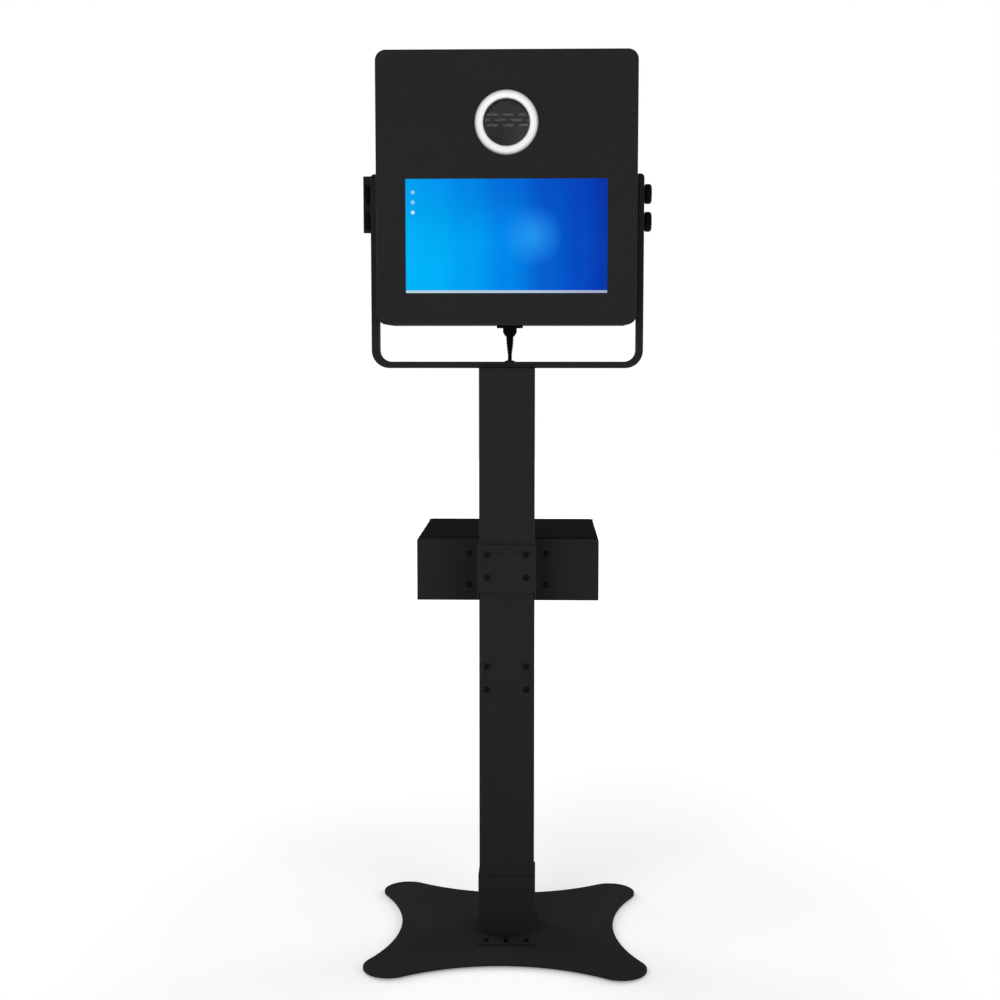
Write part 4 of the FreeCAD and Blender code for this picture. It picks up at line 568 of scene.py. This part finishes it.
# ---------------------------------------------------------------- knobs
def knob(side, node):
    """A fluted hand knob with a ringed face, on a threaded stud."""
    low, high = (Vector(corner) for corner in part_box(node))
    centre = (low + high) / 2
    radius = (high.z - low.z) / 2 - 0.0001
    grip, neck, neck_radius = 0.0135, 0.0015, 0.012
    stud_radius, stud_length = 0.004, (high.x - low.x) - grip
    flutes, flute_depth = 12, 0.10

    def fluted(angle, reach, height):
        if height < neck + 0.0002 or reach < 0.62 * radius:
            return reach
        wave = 0.5 - 0.5 * math.cos(flutes * angle)
        return reach * (1 - flute_depth * wave ** 3)

    face_round, back_round = 0.0045, 0.0024
    profile = [(0, 0.0002), (neck_radius - 0.0006, 0), (neck_radius, 0.0004), (neck_radius, neck)]
    profile += arc((radius - back_round, neck + back_round), back_round, -90, 0, 5)
    profile += arc((radius - face_round, grip - face_round), face_round, 0, 90, 6)
    profile += [(0.60 * radius, grip), (0.58 * radius, grip - 0.0007), (0.53 * radius, grip - 0.0010),
                (0.50 * radius, grip - 0.0005), (0.30 * radius, grip - 0.0003), (0, grip - 0.0002)]
    bm = lathe(profile, 144, fluted)
    axis = Vector((side, 0, 0))
    seat = Vector((high.x - grip if side > 0 else low.x + grip, centre.y, centre.z))
    bmesh.ops.transform(bm, matrix=turn(seat, axis), verts=bm.verts)
    made = piece(node + "_grip", to_mesh(node + "_grip", bm, 30), node, "knob_plastic")
    pitch = 0.00125
    profile = [(0, -stud_length), (stud_radius - 0.0008, -stud_length)]
    turns = int(stud_length / pitch)
    for index in range(turns):
        foot = -stud_length + pitch * (index + 0.3)
        profile += [(stud_radius - 0.0006, foot), (stud_radius, foot + 0.45 * pitch),
                    (stud_radius, foot + 0.6 * pitch)]
    profile += [(stud_radius - 0.0003, 0.001), (0, 0.001)]
    bm = lathe(profile, 24)
    bmesh.ops.transform(bm, matrix=turn(seat, axis), verts=bm.verts)
    piece(node + "_stud", to_mesh(node + "_stud", bm, 25), node, "steel_zinc")
    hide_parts(node)


for side_name, side in (("right", 1), ("left", -1)):
    for kind in ("pivot", "lock"):
        knob(side, "knob_" + kind + "_" + side_name)


# ---------------------------------------------------------------- ring light
def ring_light():
    """The opal ring: a rounded crown, a thin outer lip, and a skirt through the panel."""
    low, high = (Vector(corner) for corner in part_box("ring_diffuser"))
    centre = (low + high) / 2
    outer = (high.x - low.x) / 2
    inner = outer - RING_BAND
    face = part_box("head_shell")[0][1]
    proud = face - low.y
    skirt = high.y - face
    lip, crown_steps = 0.0012, 12
    profile = [(inner, -0.0001), (inner, 0.45 * proud)]
    profile += arc((inner + 0.0024, 0.45 * proud), 0.0024, 180, 90, 5)
    top = 0.45 * proud + 0.0024
    for step in range(1, crown_steps):
        share = step / crown_steps
        radius = inner + 0.0024 + share * (outer - inner - 0.0024 - lip - 0.0016)
        profile.append((radius, top + (proud - top) * math.sin(math.pi * share) ** 0.8))
    profile += arc((outer - lip - 0.0016, 0.45 * proud + 0.0008), 0.0016, 90, 0, 5)
    profile += [(outer - lip, 0.0016), (outer - 0.0003, 0.0014), (outer, 0.0010), (outer, 0.0)]
    profile += [(outer - 0.0036, 0.0), (outer - 0.0036, -skirt), (outer - 0.0055, -skirt),
                (outer - 0.0055, -0.0012), (inner + 0.0026, -0.0012), (inner + 0.0026, -0.0001)]
    bm = lathe(profile, 160)
    bmesh.ops.transform(bm, matrix=turn((centre.x, face, centre.z), (0, -1, 0)), verts=bm.verts)
    made = piece("ring_opal", to_mesh("ring_opal", bm, 35), "head", "diffuser_white")
    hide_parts("ring_diffuser")


ring_light()


# ---------------------------------------------------------------- display
def display():
    """The display module: a dark frame round the lit picture."""
    low, high = (Vector(corner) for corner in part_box("lcd_panel"))
    centre = (low + high) / 2
    bezel = 0.007
    width, height = high.x - low.x - 2 * bezel, high.z - low.z - 2 * bezel
    bm = rounded_box(low, high, 0.0008, 2)
    front = min(bm.faces, key=lambda face: face.calc_center_median().y)
    mask = bmesh.ops.inset_region(bm, faces=[front], thickness=bezel + 0.0004, depth=0.0)
    bmesh.ops.inset_region(bm, faces=[front], thickness=0.0007, depth=-0.00025)
    front.material_index = 1
    for face in mask["faces"]:
        face.material_index = 0
    made = piece("display_module", to_mesh("display_module", bm), "head", "lcd_image",
                 [MATERIALS["lcd_image"], screen_picture(centre, width, height)])
    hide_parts("lcd_panel")


display()


# ---------------------------------------------------------------- dust gauze behind the door's vents
def gauze_finish():
    """A fine grey filter gauze that lets a little of the light behind it through both its faces, with a faint
    painted glow of its own.
    """
    g = Graph("vent_gauze")
    weave = g.span(g.noise(0.0015, 1.0), 0.3, 0.7)
    # the white emission is a painted glow: the gauze is no lamp
    g.set(Base_Color=g.mix(weave, (0.30, 0.30, 0.305), (0.38, 0.38, 0.385)), Roughness=0.9, Alpha=0.78,
          Specular_IOR_Level=0.1, Emission_Color=(1.0, 1.0, 1.0), Emission_Strength=0.017,
          Normal=g.bump(weave, 0.0001))
    return g.material


def gauze(name, row_middle, half_height, gauze_material):
    """A thin sheet inside the door over one group of vents."""
    door_skin = 0.0015
    inner_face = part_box("rear_door")[1][1] - door_skin
    half_width = 0.133
    low = Vector((-half_width, inner_face - 0.0010, row_middle - half_height))
    high = Vector((half_width, inner_face - 0.0004, row_middle + half_height))
    bm = rounded_box(low, high, 0.00025, 1)
    piece(name, to_mesh(name, bm), "door", "nylon_black", [gauze_material])


GAUZE = gauze_finish()
TOP_VENTS = middle("ring_diffuser").z + 0.026
LOW_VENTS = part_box("rear_door")[0][2] + 0.060
gauze("vent_gauze_top", TOP_VENTS, 0.045, GAUZE)
gauze("vent_gauze_low", LOW_VENTS, 0.018, GAUZE)


# ---------------------------------------------------------------- dark pad under the keyhole, as painted shade
def keyhole_painted_shade_pad():
    """A dark rubber pad under the base plate that closes the keyhole from below, so that it shows dark:
    painted shade standing in for the shade under the plate.
    """
    socket_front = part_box("foot_socket")[0][1]
    plate_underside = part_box("base_plate")[0][2]
    half_width, length, clear = 0.016, 0.046, 0.0002
    bm = rounded_box(Vector((-half_width, socket_front, clear)),
                     Vector((half_width, socket_front + length, plate_underside)), 0.0008, 2)
    piece("keyhole_painted_shade_pad", to_mesh("keyhole_painted_shade_pad", bm), "stand", "rubber_black")


keyhole_painted_shade_pad()


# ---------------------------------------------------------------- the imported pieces' finishes
def soften(node, width):
    """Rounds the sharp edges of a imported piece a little, as bending, coating or moulding leaves them."""
    made = nodes[node]
    weld = made.modifiers.new("weld", "WELD")
    weld.merge_threshold = 1e-6
    bevel = made.modifiers.new("edge", "BEVEL")
    bevel.width = width
    bevel.segments = 2
    bevel.limit_method = "ANGLE"
    bevel.angle_limit = math.radians(35)
    bevel.harden_normals = True
    bevel.use_clamp_overlap = True


def dress_nodes():
    """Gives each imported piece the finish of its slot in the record."""
    for part in frame["record"]["subparts"]:
        mesh = nodes[part["node"]].data
        mesh.materials.clear()
        mesh.materials.append(MATERIALS[part["material_slot"]])
    # painted shade on the box's top and painted light on its upright faces, so its top is darker than its
    # front
    nodes["shelf_box"].data.materials[0] = powder_coat("powder_box_painted_light_and_shade", 0.02, 1.42, 0.4)


dress_nodes()
SOFT_EDGES = {    # bevel widths in metres
    0.0003: ["head_shell", "rear_door", "shelf_rear_cover", "camera_shelf", "equipment_plate", "ring_housing",
             "mini_pc", "camera_plate", "door_hinge_leaves", "frame_hinge_leaves"],
    0.0005: ["column_lower", "column_upper", "column_cap", "foot_socket", "shelf_box", "shelf_bottom",
             "shelf_bracket", "power_supply", "led_driver", "mains_inlet", "rocker_switch", "power_inlet"],
    0.0008: ["base_plate", "foot_pads", "power_strip", "strip_plug"],
}
for edge_width, softened in SOFT_EDGES.items():
    for softened_node in softened:
        soften(softened_node, edge_width)


# ---------------------------------------------------------------- floor, light and camera
def floor():
    """A large pale floor, a little uneven in tone, that fades to white away from the object."""
    half_size, drop = 12.0, 0.0005
    bm = bmesh.new()
    bmesh.ops.create_grid(bm, x_segments=24, y_segments=24, size=half_size)
    g = Graph("floor_pale")
    tone = g.span(g.noise(1.2, 3.0), 0.3, 0.7)
    length = g.add("ShaderNodeVectorMath", operation="LENGTH")
    g.feed(length.inputs[0], g.place)
    far = g.span(length.outputs["Value"], 0.6, 5.0, 0.28, 0.95)
    g.set(Base_Color=g.mix(tone, (0.84, 0.84, 0.84), (0.86, 0.86, 0.86)), Roughness=0.9,
          Specular_IOR_Level=0.05, Emission_Color=(1.0, 1.0, 1.0), Emission_Strength=far)
    mesh = bpy.data.meshes.new("floor")
    bm.to_mesh(mesh)
    bm.free()
    mesh.materials.append(g.material)
    ground = bpy.data.objects.new("floor", mesh)
    ground.location.z = -drop
    bpy.context.scene.collection.objects.link(ground)


def world():
    """A white backdrop; as light it is weak, and weakest near the floor."""
    room = bpy.data.worlds.new("room")
    room.use_nodes = True
    tree = room.node_tree
    backdrop = tree.nodes["Background"]
    backdrop.inputs["Color"].default_value = (1.0, 1.0, 1.0, 1.0)
    light = tree.nodes.new("ShaderNodeBackground")
    coordinates = tree.nodes.new("ShaderNodeTexCoord")
    split = tree.nodes.new("ShaderNodeSeparateXYZ")
    ramp = tree.nodes.new("ShaderNodeValToRGB")
    for element, place, level in zip(ramp.color_ramp.elements, (0.0, 0.9), (0.16, 0.42)):
        element.position = place
        element.color = (level, level, level, 1.0)
    path = tree.nodes.new("ShaderNodeLightPath")
    choice = tree.nodes.new("ShaderNodeMixShader")
    tree.links.new(coordinates.outputs["Generated"], split.inputs["Vector"])
    tree.links.new(split.outputs["Z"], ramp.inputs["Fac"])
    tree.links.new(ramp.outputs["Color"], light.inputs["Color"])
    tree.links.new(path.outputs["Is Camera Ray"], choice.inputs["Fac"])
    tree.links.new(light.outputs["Background"], choice.inputs[1])
    tree.links.new(backdrop.outputs["Background"], choice.inputs[2])
    tree.links.new(choice.outputs["Shader"], tree.nodes["World Output"].inputs["Surface"])
    bpy.context.scene.world = room


def softbox(name, place, target, size, power):
    """A square studio light at a place, aimed at a target."""
    light = bpy.data.lights.new(name, "AREA")
    light.shape = "SQUARE"
    light.size = size
    light.energy = power
    made = bpy.data.objects.new(name, light)
    made.location = place
    made.rotation_euler = (Vector(target) - Vector(place)).to_track_quat("-Z", "Y").to_euler()
    bpy.context.scene.collection.objects.link(made)


def camera():
    """In front at the height of the yoke's bar, tipped a little down, with a moderately long lens."""
    data = bpy.data.cameras.new("camera")
    data.sensor_width = 36.0
    data.lens = 54.68
    made = bpy.data.objects.new("camera", data)
    made.location = (0.0596, -2.700, 1.0617)
    made.rotation_euler = (math.radians(90 - 5.64), 0.0, math.radians(1.54))
    bpy.context.scene.collection.objects.link(made)
    bpy.context.scene.camera = made


floor()
world()
softbox("key", (-1.5, -3.4, 2.5), (0, 0, 1.0), 2.2, 64)
softbox("fill", (2.2, -3.0, 1.6), (0, 0, 0.9), 1.8, 36)
softbox("back_left", (-2.9, 2.3, 2.1), (0, 0, 0.9), 2.0, 52)
softbox("back_right", (3.0, 2.1, 1.9), (0, 0, 0.9), 2.0, 44)
camera()
bpy.context.scene.view_settings.view_transform = "Standard"
